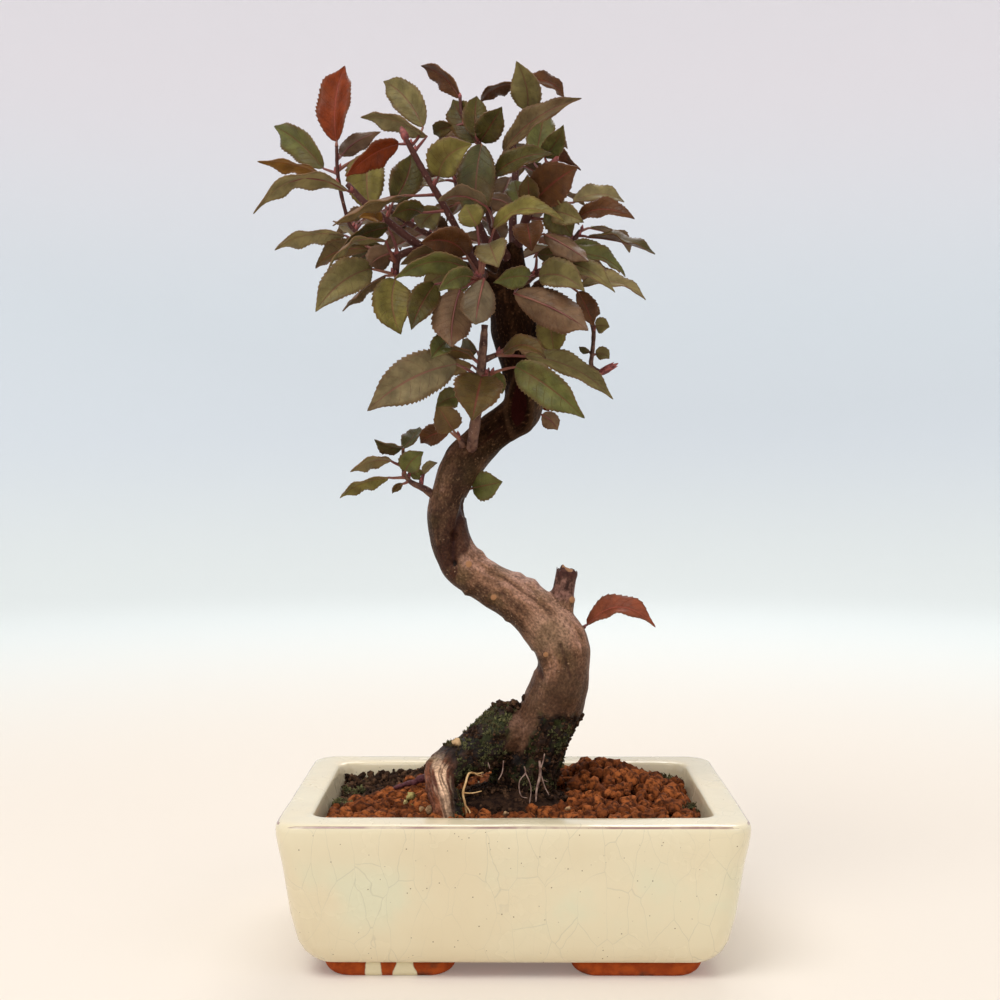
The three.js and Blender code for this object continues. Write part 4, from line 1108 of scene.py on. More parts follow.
# A painted highlight: a pale tan stripe along the ridge of the big root
pale_off = abs(bark.x + bark.z * 0.29 - (POT_MIDDLE.x - 0.0077)) + (fibre - 0.5) * 0.012
root_skin = bark.mix((0.13, 0.042, 0.022), (0.27, 0.095, 0.045), patchy.fit(0.4, 0.6)).under(
    ((0.72, 0.46, 0.29), pale_off.fit(0.0012, 0.0036, 0.95, 0)),
    ((0.060, 0.020, 0.010), streaks(1.1, 18, 6.0).fit(0.36, 0.5, 0.7, 0)))
side_root = right_of(-0.031, -0.036) * bark.y.fit(POT_MIDDLE.y + 0.002, POT_MIDDLE.y + 0.008)
skin = skin.under(
    (shaded, shade * 0.97), (stub_tone, stub.fit(0, 1, 0, 0.85)),
    ((0.050, 0.014, 0.010), stub.fit(1, 1.8, 0, 0.8)),
    ((0.072, 0.032, 0.016), (bark.z + patchy * 0.03).fit(0.112, 0.148, 0.7, 0)), (wet, crust),
    (root_skin, right_of(-0.022, -0.029) * bark.z.fit(0.082, 0.073)),
    ((0.105, 0.035, 0.040), side_root))
skin = skin.scaled(stipple.fit(0.34, 0.66, 0.7, 1.3)).under(
    # A painted highlight on the wound's rim, then the dark of the wound, which is partly its own
    # wood and partly painted shade, as is the dark of the grooves
    ((0.085, 0.042, 0.020), wound.fit(-0.2, -1, 0, 0.3)),
    ((0.020, 0.003, 0.002), wound.fit(0.05, 0.75)),
    ((0.36, 0.17, 0.075), scar.fit(0.2, 0.7)), ((0.016, 0.008, 0.005), scar.fit(-0.2, -0.7)))
bark.set(Base_Color=skin, Roughness=stipple.fit(0.3, 0.7, 0.62, 0.48))
bark.set(Specular_IOR_Level=shade.fit(0.3, 0.9, 0.16, 0.02))
bark.set(Normal=bark.bump(stipple, 0.28, bark.bump(fibre, 0.35)))
print("nodes of the bark:", len(bark.tree.nodes))

# %% Place the trunk
bark_surface = BVHTree.FromBMesh(bark_bm)
crust_points = [(vert.co.copy(), vert.normal.copy()) for vert in bark_bm.verts
                if vert[crust_layer] > 0.5 and vert.co.z > 0.055]
bark_bm.to_mesh(wood.data)
bark_bm.free()
wood.data.materials.append(bark.material)
for polygon in wood.data.polygons:
    polygon.use_smooth = True
settle(wood, "bark", "trunk")

# %% [markdown]
# ## Moss, fine roots and finds on the soil
#
# Moss grows on the ridge of the surface root, round the foot of the trunk and along the damp back
# wall. A tuft is a handful of tiny cones, and tufts are strewn like the grains. The stone on the
# ridge is placed by looking from the eye towards the bark.

# %% Tufts of moss
def make_tufts(count, seed):
    random.seed(seed)
    tufts = []
    for index in range(count):
        bm = bmesh.new()
        for _ in range(7):
            lean = Matrix.Rotation(random.uniform(-0.9, 0.9), 4, random.choice("XY"))
            place = Matrix.Translation((random.uniform(-0.7, 0.7), random.uniform(-0.7, 0.7), 0))
            height = random.uniform(0.7, 1.6)
            lift = Matrix.Translation((0, 0, height / 2 - 0.3))
            bmesh.ops.create_cone(bm, cap_ends=True, segments=3, radius1=0.3, radius2=0.05,
                                  depth=height, matrix=place @ lean @ lift)
        tufts.append(keep_toned(bm, index / (count - 1)))
    return tufts


MOSS, CRUST_CRUMBS, CRUST_SAMPLE = 1500, 1100, 9000
CLUMP = (-1, 96, -2)
# Middle x and y of a moss patch on the soil, and its number of tufts
MOSS_PATCHES = ((74, -15, 40), (69, 46, 40), (-72, 2, 50), (-70, 30, 30))

random.seed(31)
moss_places, crust_places = [], []
for place, normal in random.sample(crust_points, min(len(crust_points), CRUST_SAMPLE)):
    x, height, depth = seen_from_front(place)
    on_ridge = x < 1 + 0.3 * (height - 92)
    mossy = noise.noise(place / 0.007) + (0.3 if on_ridge else -0.2)
    if x < -24 and height < 79:
        continue
    if mossy > 0.05 and normal.z > -0.5 and len(moss_places) < MOSS:
        moss_places.append((place, random.uniform(0.5, 1.05)))
    elif len(crust_places) < CRUST_CRUMBS:
        crust_places.append((place, random.choice((0.45, 0.6, 0.8, 1.1))))
for _ in range(90):
    off = Vector((random.gauss(0, 2.6), random.gauss(0, 3), random.gauss(0, 1.5)))
    crust_places.append((seen(CLUMP[0] + off.x, CLUMP[1] + off.z, CLUMP[2] + off.y),
                         random.choice((0.7, 1.0, 1.4, 1.8))))
for _ in range(130):
    x, y = random.uniform(-74, -18), 47.6 - abs(random.gauss(0, 2.2))
    moss_places.append((at(x, y, soil_height(x, y) + 1.2), random.uniform(0.8, 1.5)))
for middle_x, middle_y, count in MOSS_PATCHES:
    for _ in range(count):
        x, y = middle_x + random.gauss(0, 2.4), middle_y + random.gauss(0, 3.5)
        if abs(x) < 75.5 and abs(y) < 47.5:
            moss_places.append((at(x, y, soil_height(x, y) + 1.5), random.uniform(0.8, 1.5)))

moss = Finish("moss")
moss_tone = moss.mix((0.036, 0.038, 0.012), (0.175, 0.165, 0.065), moss.attribute("tone").fit(0, 1))
moss_dry = moss.speckle(5).fit(0.48, 0.62) * 0.8
moss.set(Base_Color=moss_tone.under(((0.060, 0.032, 0.014), moss_dry)), Roughness=0.9)
moss.set(Normal=moss.bump(moss.speckle(0.5), 0.2), Specular_IOR_Level=0.2)
settle(to_object("moss_tufts", scatter(make_tufts(6, 33), moss_places, 34), moss), "bark")
settle(to_object("soil_crust", scatter(crumb_lumps, crust_places, 35), old_soil), "old_soil")
print("moss tufts:", len(moss_places), "crumbs on the trunk's foot:", len(crust_places))

# %% [markdown]
# Thin white roots hang down the foot of the trunk, a forked straw leans on the big root, and a few
# tan stones and grey-green lichen lumps lie on the grains. Roots and straw are tubes, the others
# are lumps.

# %% Fine roots and the straw: x, height, depth, radius
FINE_ROOTS = curves("""
4.8 70.5 -16 0.3, 5.4 67.8 -17 0.3, 3 64.7 -18 0.26, 2.7 60.9 -19 0.24, 3.8 57.7 -20 0.22,
6.2 57.2 -20 0.2 /
5.4 67.6 -17 0.28, 7.2 63.6 -18 0.26, 7.7 60.4 -19 0.24, 7 54.5 -21 0.2 /
11.3 73 -14 0.5, 11.5 66.8 -16 0.62, 10.2 61.5 -18 0.5, 9.7 55.5 -20 0.3 /
12 66.6 -16 0.3, 13.7 61.5 -17 0.26, 15.3 58.4 -18 0.2 /
13.4 76 -14 0.24, 12.6 72.2 -14.5 0.3, 11.7 69.5 -15.5 0.35 /
13 64.8 -16.5 0.2, 14.7 64 -16 0.16 /
-10.9 73.4 -16 0.3, -9.6 69.5 -18 0.2 /
-3.9 73 -15 0.26, -4.5 67.9 -17 0.24, -6.1 64.8 -19 0.2""")
STRAW = curves("""
-19.4 49 -29 0.4, -20 54 -29 0.5, -21 59.3 -28 0.5, -20 63 -27 0.45, -18.4 67.6 -24 0.45,
-15 67.4 -20 0.35, -12.5 68 -17 0.3 /
-20.8 59.3 -28 0.3, -17 59.2 -28 0.26, -13.1 60.1 -28 0.2 /
-20 54 -29 0.35, -18.2 51.5 -30 0.3, -17.8 49 -31 0.25 /
-16 67.3 -21 0.25, -14 66.6 -20 0.22, -12.8 66.3 -19 0.2""")


def strands(name, lines, finish):
    bm = bmesh.new()
    for rows in lines:
        join_into(bm, tube(smooth_line(rows, 1.2), 6))
    settle(to_object(name, bm, finish), "bark")


strands("fine_roots", FINE_ROOTS, two_tone(
    "fine_root", (0.13, 0.06, 0.04), (0.36, 0.23, 0.17), spots=3, edges=(0.35, 0.6),
    roughness=0.6, grain=0.6, relief=0.05))
strands("straw_twig", STRAW, two_tone(
    "dry_straw", (0.50, 0.26, 0.09), (0.78, 0.50, 0.22), spots=3, edges=(0.35, 0.65),
    roughness=0.6, grain=0.8, relief=0.08))


# %% Stones and lichen
def on_bark(x, height):
    """Where the line of sight through a seen point meets the bark."""
    eye = at(*EYE)
    return bark_surface.ray_cast(eye, (seen(x, height, 0) - eye).normalized())[0]


stone_places = [(at(-37, -27, 58.6), 1.7), (at(-33.5, -28, 58.8), 2.2), (at(-30, -29, 58.4), 1.5),
                (at(-3, -33, 58.5), 1.3), (on_bark(-23.5, 80.5), 2.1), (at(22, -30, 60), 1.1)]
lichen_places = [(seen(-43.2, 58, -22), 2.3), (seen(-42.4, 53.2, -26), 1.2),
                 (seen(-45, 55.6, -24), 1.1)]
tan_stone = crumbly("tan_stone", (0.24, 0.14, 0.07), (0.42, 0.25, 0.12), (0.58, 0.38, 0.2), 1.8)
lichen = crumbly("grey_lichen", (0.20, 0.15, 0.045), (0.42, 0.34, 0.12), (0.60, 0.50, 0.22), 0.8)
for name, places, roughness, seed, finish, slot in (
        ("tan_stones", stone_places, 0.3, 41, tan_stone, "akadama"),
        ("lichen_lumps", lichen_places, 0.6, 43, lichen, "bark")):
    finds_bm = scatter(make_lumps(3, 2, roughness, seed), places, seed + 1)
    settle(to_object(name, finds_bm, finish), slot)

# %% [markdown]
# ## Leaves
#
# An apple leaf is a thin oval with a drawn-out tip and a finely toothed edge. It folds up a little
# along its midrib, arches and waves. Each blade starts as a flat grid. Its points are moved onto
# the leaf's form, a solidify gives it a thin body, and one slender tube makes its stalk and the
# midrib beneath.

# %% The tones of the leaves: upper face, underside, midrib
LEAF_TONES = {
    "green": ((0.112, 0.110, 0.028), (0.15, 0.095, 0.045), (0.150, 0.060, 0.026)),
    "olive": ((0.165, 0.130, 0.045), (0.17, 0.105, 0.055), (0.17, 0.075, 0.040)),
    # The dark tone is painted shade, for leaves that lie deep in the crown's shade
    "dark": ((0.060, 0.047, 0.008), (0.10, 0.055, 0.025), (0.105, 0.026, 0.012)),
    "yellow": ((0.165, 0.132, 0.030), (0.19, 0.12, 0.05), (0.20, 0.095, 0.038)),
    "pale": ((0.215, 0.165, 0.066), (0.23, 0.145, 0.075), (0.25, 0.140, 0.075)),
    "lilac": ((0.105, 0.068, 0.026), (0.155, 0.088, 0.045), (0.15, 0.045, 0.028)),
    "brown": ((0.082, 0.050, 0.012), (0.13, 0.07, 0.035), (0.15, 0.035, 0.020)),
    "tan": ((0.165, 0.108, 0.040), (0.21, 0.12, 0.06), (0.23, 0.085, 0.045)),
    "bronze": ((0.085, 0.032, 0.008), (0.14, 0.055, 0.03), (0.17, 0.032, 0.018)),
    "grey": ((0.062, 0.057, 0.018), (0.12, 0.085, 0.045), (0.13, 0.055, 0.032)),
    "orange": ((0.215, 0.100, 0.017), (0.22, 0.11, 0.04), (0.27, 0.09, 0.03)),
    "red": ((0.165, 0.026, 0.003), (0.19, 0.055, 0.025), (0.25, 0.045, 0.022)),
    "dusty": ((0.185, 0.140, 0.066), (0.19, 0.12, 0.07), (0.22, 0.090, 0.060)),
    "rose": ((0.21, 0.052, 0.021), (0.42, 0.20, 0.14), (0.33, 0.075, 0.045))}
print("leaf tones:", len(LEAF_TONES))

# %% The form of one leaf
BLADE_ARCH = 0.06


def blade_axes(direction, facing, turn):
    flat = direction.cross(facing).normalized()
    out = flat.cross(direction)
    cos, sin = math.cos(turn), math.sin(turn)
    return flat * cos + out * sin, out * cos - flat * sin


class Leaf:
    def __init__(self, base, tip, facing, bow, width, turn, tone):
        chord = tip - base
        upper = blade_axes(chord.normalized(), facing, turn)[1]
        lift = chord.cross(facing).normalized()
        if (lift.x if abs(lift.z) < 0.3 else lift.z) < 0:
            lift.negate()
        self.length = chord.length
        self.bend = (base + tip) / 2 + lift * 2 * bow / 1000 + upper * 2 * BLADE_ARCH * self.length
        self.base, self.tip, self.facing, self.turn = base, tip, facing, turn
        self.width, self.tone = width / 1000, tone

    def rib(self, along):
        rest = 1 - along
        return self.base * rest * rest + self.bend * 2 * rest * along + self.tip * along * along

    def direction(self, along):
        return ((self.bend - self.base) * (1 - along) + (self.tip - self.bend) * along).normalized()


print("a flat leaf arches by", BLADE_ARCH, "of its length")

# %% A toothed, waved blade
BLADE_THICKNESS, BLADE_COLUMNS = 0.0004, 6
TOOTH_LENGTH, TEETH = 0.0018, (7, 22)


def add_blade(bm, leaf, seed):
    """Adds one closed blade. `place` holds how far along and to which side a point is."""
    steps = 2 * min(TEETH[1], max(TEETH[0], round(leaf.length / TOOTH_LENGTH)))
    grid_bm = bmesh.new()
    place = grid_bm.verts.layers.float_vector.new("place")
    tone = grid_bm.verts.layers.float_color.new("tone")
    rib_tone = grid_bm.verts.layers.float_color.new("rib_tone")
    upper_tone, under_tone, rib_colour = LEAF_TONES[leaf.tone]
    bmesh.ops.create_grid(grid_bm, x_segments=steps, y_segments=BLADE_COLUMNS, size=0.5)
    wave = leaf.length * 0.035
    twist = 0.7 * (draw(seed, 5.1) - 0.5)
    fold = math.tan(math.radians(16 + 18 * draw(seed, 4.3)))
    for vert in grid_bm.verts:
        step = round((vert.co.x + 0.5) * steps)
        side = -2 * vert.co.y
        out = abs(side)
        at_edge = out > 0.9
        along = step / steps
        if step % 2 and at_edge and 1 < step < steps - 1:
            along += 0.7 / steps
        tapering = clamp((along - 0.7) / 0.3)
        width = 0.5 * leaf.width * math.sin(math.pi * along ** 0.85) ** 0.72
        width *= 1 - 0.5 * tapering * tapering * (3 - 2 * tapering)
        if step % 2 == 0 and at_edge:
            width *= 0.92
        turn = leaf.turn + twist * (along - 0.4)
        across, upper = blade_axes(leaf.direction(along), leaf.facing, turn)
        swing = math.sin(along * 15 + 6.28 * draw(seed, 6.1 + (side > 0)))
        ripple = swing * out * out * math.sin(math.pi * along)
        cup = fold * out * width * (1.3 - 0.45 * out)
        vert.co = leaf.rib(along) + across * side * width + upper * (cup + wave * ripple)
        vert[place] = (along, side if 0 < step < steps else 0, 0)
        vert[tone] = (*upper_tone, 1)
        vert[rib_tone] = (*rib_colour, 1)
    bmesh.ops.remove_doubles(grid_bm, verts=grid_bm.verts[:], dist=2e-6)
    above = set(grid_bm.verts)
    bmesh.ops.solidify(grid_bm, geom=grid_bm.faces[:], thickness=BLADE_THICKNESS)
    for vert in grid_bm.verts:
        if vert not in above:
            vert[tone] = (*under_tone, 1)
    bmesh.ops.recalc_face_normals(grid_bm, faces=grid_bm.faces[:])
    join_into(bm, grid_bm)


print("teeth on an edge, fewest and most:", TEETH)

# %% [markdown]
# The stalk starts on the stem, sags a little, and runs on under the blade as a raised midrib that
# thins out towards the tip. A small bud sits where it leaves the stem.

# %% Stalk, midrib and the bud at its foot
STALK, TWIG, BUD = 1, 2, 3
STALK_RADIUS, STALK_SAG, LONG_STALK = 0.0006, 0.12, 0.012


def add_tube(bm, samples, sides, finish_index):
    part = tube(samples, sides)
    for face in part.faces:
        face.material_index = finish_index
    join_into(bm, part)


def add_stalk(bm, leaf, start):
    reach = (leaf.base - start).length
    middle = start.lerp(leaf.base, 0.5)
    if reach > LONG_STALK:
        middle -= leaf.direction(0) * STALK_SAG * reach
    samples = []
    for part in range(4):
        t = part / 4
        place = start * (1 - t) ** 2 + middle * 2 * t * (1 - t) + leaf.base * t * t
        samples.append((place, STALK_RADIUS * (1.35 - 0.5 * t if part else 1.5)))
    for along in (0.0, 0.2, 0.42, 0.64, 0.84):
        upper = blade_axes(leaf.direction(along), leaf.facing, leaf.turn)[1]
        place = leaf.rib(along) - upper * BLADE_THICKNESS * 0.8
        samples.append((place, STALK_RADIUS * (0.85 - 0.72 * along)))
    add_tube(bm, samples, 5, STALK)


def add_bud(bm, base, tip, radius):
    rings = ((0, 0.55), (0.2, 0.95), (0.45, 1), (0.75, 0.6), (1, 0.12))
    add_tube(bm, [(base + (tip - base) * along, radius * size) for along, size in rings], 6, BUD)


def nearest_on(lines, target):
    places = []
    for line in lines:
        for start, end in zip(line, line[1:]):
            span = end - start
            places.append(start + span * clamp((target - start).dot(span) / span.length_squared))
    return min(places, key=lambda place: (place - target).length)


print("stalk thickness in millimetres:", 2000 * STALK_RADIUS)

# %% [markdown]
# ## The shoots
#
# The table has one leafy stem after another, and each becomes one piece. A stem row gives x,
# height, depth and radius of each of its points, and a row of more carries it on. A bud row gives
# a base and a tip. A leaf row starts with its tone. Then come its base, its tip, how far its
# midrib bows, its width and its turn about the midrib (0 shows the upper face, 180 the underside).

# %% The table of the shoots
SHOOT_TABLE = """
shoot_left
stem  -38 288 -8 2  -46 294 -9 1.7  -54 300.5 -10 1.6  -61 306 -10 1.5  -69 314.5 -9 1.1
stem  -50 297.5 -9 1.2  -60 293 -2 0.9  -67 296 1 0.8  -70 304 1 0.8  -73 319 1 0.8  -73.4 330 1 0.7
red  -73.5 332 1  -69.8 363.5 11  -1.5 15 20
green  -79 321 5  -99.5 338.5 20  2.5 13 20
orange  -81 319 -6  -106.4 323.7 -20  3 9 55
pale  -69 311.5 -12  -108.1 302.1 -32  11 10 48
lilac  -71.5 326 5  -55 336 20  2.5 9 205
yellow  -60 327 9  -59 301 2  -1 17 -10
dark  -50 307 -12  -42.5 327 -4  -2 14 5
lilac  -63 298.5 5  -75.2 299 18  0.6 6 70
pale  -63 300 9  -70.5 294.5 24  1 9 0
orange  -55 298.5 -12  -64 300.8 -24  1 7 -35
spray_left_low
stem  -36 287 -8 1.8  -43 286.5 -11 1.6  -48 284 -13 1.6  -49 277 -15 1.4
pale  -70 293 -2  -99.5 287 12  5 9 42
brown  -60 287.5 -6  -82.5 279.5 6  2.5 10 -30
dark  -52 296.5 -16  -71.5 287.5 -30  2.5 9 35
olive  -59 279.5 -17  -82.5 261.5 -36  2.5 15 -8
olive  -53 290.5 -22  -77.5 277.5 -44  8 7 70
dark  -54 288 -8  -66 281.5 4  1 12 0
lilac  -50 286 -12  -60 280.5 -20  1 11 180
lilac  -53 276.3 -14  -71 261.5 -4  3 7 60
yellow  -49 275 -20  -46.7 252 -27  -2.5 17 5
shoot_front_left
stem  -12 276 -4 2.4  -14 278 -9 2.2  -18 285 -12 1.7  -24 297 -15 1.5  -32 311 -17 1.4
more  -38.5 322 -17 1.3  -44.5 333 -17 1.1
stem  -14 278 -9 1.8  -13 276 -17 1.6  -14 275 -24 1.4
bud  -44.5 333 -17  -46.5 338.5 -17
tan  -45 309.5 -22  -75 297 -38  4.5 8 66
yellow  -31 317.5 -20  -17 331 -32  3 15 10
red  -47.5 331 -17  -69.5 317.5 -30  3 12 35
pale  -36 334 -10  -63.5 342 2  4 9 40
olive  -37.5 338 -4  -54 357 10  2.5 13 0
dark  -38 302.5 -19  -50.5 301 -30  2.5 10 30
olive  -30 304 -15  -38.5 296 -4  1.5 11 10
bronze  -19.5 285 -21  -38.5 290 -36  4 15 20
lilac  -21 283.5 -14  -47 281 -20  4 11 30
green  -19 279.5 -27  -49.5 275 -44  5.5 10 30
olive  -19 278 -24  -37.7 270.5 -18  3 11 20
dark  -32.5 273 -28  -42.5 254 -40  1 12 0
green  -17 276 -30  -31 270 -46  2.5 9 20
green  -17 274.5 -22  -27 269.5 -14  1.5 8 10
lilac  -22 271 -31  -25.5 246.5 -42  -1 17 190
grey  -12 275 -35  -15.5 256 -52  -0.5 14 180
olive  -10 290 -27  -6 280 -40  0 14 0
yellow  -15 297 -27  -20 306 -25  0 11 0
yellow  -8 296 -22  21.5 299 -38  5 9 42
shoot_top
stem  -1 282 0 2.2  -6 290 -5 1.8  -9 298 -8 1.5  -11 308 -9 1.4  -12 318 -9 1.2  -14 331 -8 1
more  -21 343 -4 0.8  -22 350 -2 0.7
stem  -11 310 -9 1.2  -5 322 -5 1  1 334 -1 0.9  5 345 1 0.8
grey  -13 331 -16  -15 295 -20  -1.5 16 0
dark  -15.5 331.5 -8  -25 349.5 4  0 13 10
dark  -13.5 332 -7  -4.5 346.5 -16.5  0 12 0
dark  -15.5 334 -10  -15 351 -4  -0.5 11 0
bronze  -22 350 1  -38.4 363.3 14  3.5 9 38
dark  -25 338 -3  -33 335 4  1 7 0
lilac  -22 333 0  -31 333 12  1 9 180
lilac  -4 328 -12  28.5 350 -28  2 10 35
bronze  1 356 4  -13.5 348 18  3 9 50
bronze  5 357 6  21.5 349.5 20  2.5 9 50
olive  6 345 -1  1.3 365.3 -14  2 13 10
dark  -8 318 -14  17 327 -26  2 10 28
grey  -11 305.5 -33  -31.5 307.5 -44  2 10 235
lilac  -11 308 -14  0.5 303.5 -12  2 9 205
shoot_right_top
stem  1.5 288 1 2.6  4 296 -1 2  8 306 -4 1.8  12 316 -6 1.5  15.5 321 -7 1.3
bud  15.5 321 -7  19 326 -8
green  9 323 -3  13.5 346 10  0 12 0
green  13 326 -2  21 339 -14  -1 9 0
bronze  9.5 307.5 -9  27 321.5 -20  1 18 8
brown  7 306 -11  6 318.5 -18  0 9 0
green  3.5 305 -4  0.5 316 6  0 9 0
green  14 304.5 -6  24.5 292.5 -8  1 14 0
olive  16 303 -10  29.5 298.5 -22  1 10 0
pale  25 307 -5  46.5 307 9  2 10 45
bronze  27 300.5 -8  50.8 300 -24  2.5 10 40
bronze  6 298 -12  8 286.5 -22  0 13 0
lilac  13 293.5 -15  31.5 282 -30  1.5 10 212
shoot_right
stem  1 273 0 2.4  6 275 -7 2  9 277 -11 1.7  13 278.5 -13 1.5
green  20 284 -6  47 276 8  3.5 9 42
olive  15 282.5 -12  42.7 269.5 -28  2.5 9 28
pale  28 272 -10  55.5 266.5 -12  3 9 52
olive  11 276 -16  30 270 -32  2.5 13 18
dark  10 285 -8  25 283 4  1 9 0
green  21 286.5 -2  37.7 286 12  1 9 5
green  7 276 -18  -8 273.5 -30  1.5 10 20
lilac  0.5 269 -24  31.5 253.5 -40  2 16 190
bronze  27 270 -7  33.5 255.5 -4  0 10 35
twig_right_hanging
stem  22 264.5 8 1.8  29 262 6 1.3  33.3 256 4 1  33.6 249 2 0.9  33 243 1 0.9  32.8 238.6 0 1
more  36.5 236 -1 1.2
bud  36.5 236 -1  44 240 -3
olive  34.5 255.5 1  40.4 255 -1  0.5 7 0
olive  34.5 243.8 2  40.3 241.8 1  1 6 10
grey  32 244.5 2  27.5 246.8 1  0 3.5 40
tan  30.5 261.5 2  36.5 260.5 0  0.5 6 180
yellow  15 259.5 -1  17.5 242.5 -6  0 13 0
shoot_front_low
stem  -17.5 203 -5 2.8  -17 206 -10 2.4  -16 214 -14 2.2  -14.5 224 -16 2  -13.5 235 -18 1.9
more  -12.5 246 -19 1.7  -11.8 256 -19 1.3
stem  -13.5 235 -18 1.5  -9.5 235.5 -20 1.2
stem  -13 241 -18.5 1.4  -7 243.5 -17 1.1
dusty  -23.5 239.7 -23  -61 220 -36  3.5 19 5
tan  -17 239 -16  -40.5 244 -4  -1.5 9 20
green  -28 249 -26  -34 241.8 -36  0.5 9 0
brown  -16 241.5 -20  -31.5 243.5 -28  3.5 8 55
dark  -15 245 -14  -22 246.5 -4  0 9 0
brown  -13 234.5 -25  -17 216 -40  0 20 -5
green  1 238.5 -27  30 217 -42  2 15 -12
olive  5 243 -16  42 225 -18  3 10 26
brown  -4 244 -22  14 242 -34  3.5 9 40
pale  1 249 -14  16 243.5 -6  1.5 9 200
green  -9 236.5 -16  -4.5 227 -16  1 6 0
green  -22.5 225.5 -18  -32 221.5 -26  1.5 9 0
spray_low_left
stem  -22 204 -4 1.6  -21 206 -9 1.4  -22 208 -11 1.2
tan  -25 212 -12  -32 223 -19  0 12 0
bronze  -26.5 211.5 -9  -38.7 206.5 0  1.5 9 0
spray_behind_trunk
stem  7 221 4 1.5  11 219 9 1.2
tan  12 218.5 9  18.7 212 8  1 8 190
red  12 221 8  17.5 223 7  1 6 0
leaf_trunk_middle
stem  -21 187 2 1  -18.5 187.5 2 0.8
green  -17 187.8 1  -4.3 190.5 -7  0 13 0
leaf_trunk_low
stem  26 127 -3 1.2  30 129.5 -4 0.9
rose  31 130.5 -4  60 129.5 -14  6.5 11.5 40
twig_left
stem  -33 184.5 0 1.8  -37 187.5 -2 1.5  -43 190.5 -3 1.1  -45.5 194 -4 0.9  -46 204 -5 0.7
grey  -46.3 204.5 -6  -58 208 -18  0 8 50
grey  -46 204.5 -5  -39 213.5 6  -1 8 40
pale  -51 199 -7  -68 194.5 -20  3 8 50
green  -45 195 -6  -37.5 203 -14  1 10 0
pale  -37.5 193.5 0  -31.5 198.5 2  1 4 30
green  -37.8 193.5 -1  -41 196 -2  0 3.5 30
green  -43 194.5 -1  -38.8 191 -1  0.5 4 0
yellow  -52 192 -4  -72.5 183.5 8  3.5 8 50
brown  -46 189.5 -4  -50.5 185.5 -4  1 3.5 30
"""


def read_shoots(table):
    shoots = {}
    for line in table.strip().splitlines():
        kind, *row = line.split()
        row = [float(number) for number in row]
        stem = [row[start:start + 4] for start in range(0, len(row), 4)]
        if not row:
            stems, leaves, buds = shoots[kind] = [], [], []
        elif kind == "stem":
            stems.append(stem)
        elif kind == "more":
            stems[-1] += stem
        elif kind == "bud":
            buds.append((seen(*row[:3]), seen(*row[3:])))
        else:
            base, tip = seen(*row[:3]), seen(*row[3:6])
            facing = (at(*EYE) - (base + tip) / 2).normalized()
            leaves.append(Leaf(base, tip, facing, row[6], row[7], math.radians(row[8]), kind))
    return shoots


shoots = read_shoots(SHOOT_TABLE)
print("front shoots and their leaves:", {name: len(row[1]) for name, row in shoots.items()})

# %% [markdown]
# The back of the crown is filled by four more shoots. Their leaves are set round the stem by the
# golden section, which is how real shoots keep each leaf out of the shade of the one below.

# %% Shoots at the back: leaves, arc in half turns, seed and stem
BACK_SHOOTS = {
    "left": (8, 0.15, 1.15, 8, "-14 286 25 2.1, -24 289 27 1.7, -38 295 29 1.4, -52 304 30 1"),
    "middle": (8, -0.15, 0.75, 12, "0.5 284 5 2.1, 0 300 12 1.8, 1 317 18 1.5, 0 335 20 1"),
    "right": (8, -0.15, 1.05, 11, "10 272 22 2.1, 17 278 26 1.7, 22 286 29 1.4, 28 295 31 1"),
    "upper": (6, 0.4, 1.25, 47, "-8 282 16 2, -14 297 15 1.6, -21 311 16 1.3, -27 323 17 1")}
BACK_TONES = ("green", "olive", "dark", "bronze", "green", "lilac", "olive")
GOLDEN_SECTION = (math.sqrt(5) - 1) / 2


def back_leaves(count, arc_start, arc_end, seed, stem):
    samples = smooth_line(curves(stem)[0], 0.5)
    leaves = []
    for index in range(count):
        along = 0.3 + 0.7 * (index + 1) / count
        angle = math.pi * (arc_start + (arc_end - arc_start) * ((index * GOLDEN_SECTION) % 1))
        out = Vector((math.cos(angle), math.sin(angle), 0.35)).normalized()
        length = 0.026 * (1 + 0.4 * (draw(index, seed) - 0.5))
        base = samples[round(along * (len(samples) - 1))][0] + out * 0.007
        tip = base + out * length - Vector((0, 0, length * (0.55 + 0.3 * draw(index, seed + 0.1))))
        turn = math.radians(50 * (draw(index, seed + 0.2) - 0.5))
        tone = BACK_TONES[(index + seed) % len(BACK_TONES)]
        leaves.append(Leaf(base, tip, Vector((0, 0, 1)), 2, 1000 * length * 0.45, turn, tone))
    return leaves


print("back shoots:", len(BACK_SHOOTS))

# %% [markdown]
# ## Finishes of leaf, stalk, twig and bud
#
# The blade's `place` runs from its base to its tip and from edge to edge, so the veins can be
# drawn with a little arithmetic: one midrib and side veins that lean forward. Between them the
# leaf bulges.

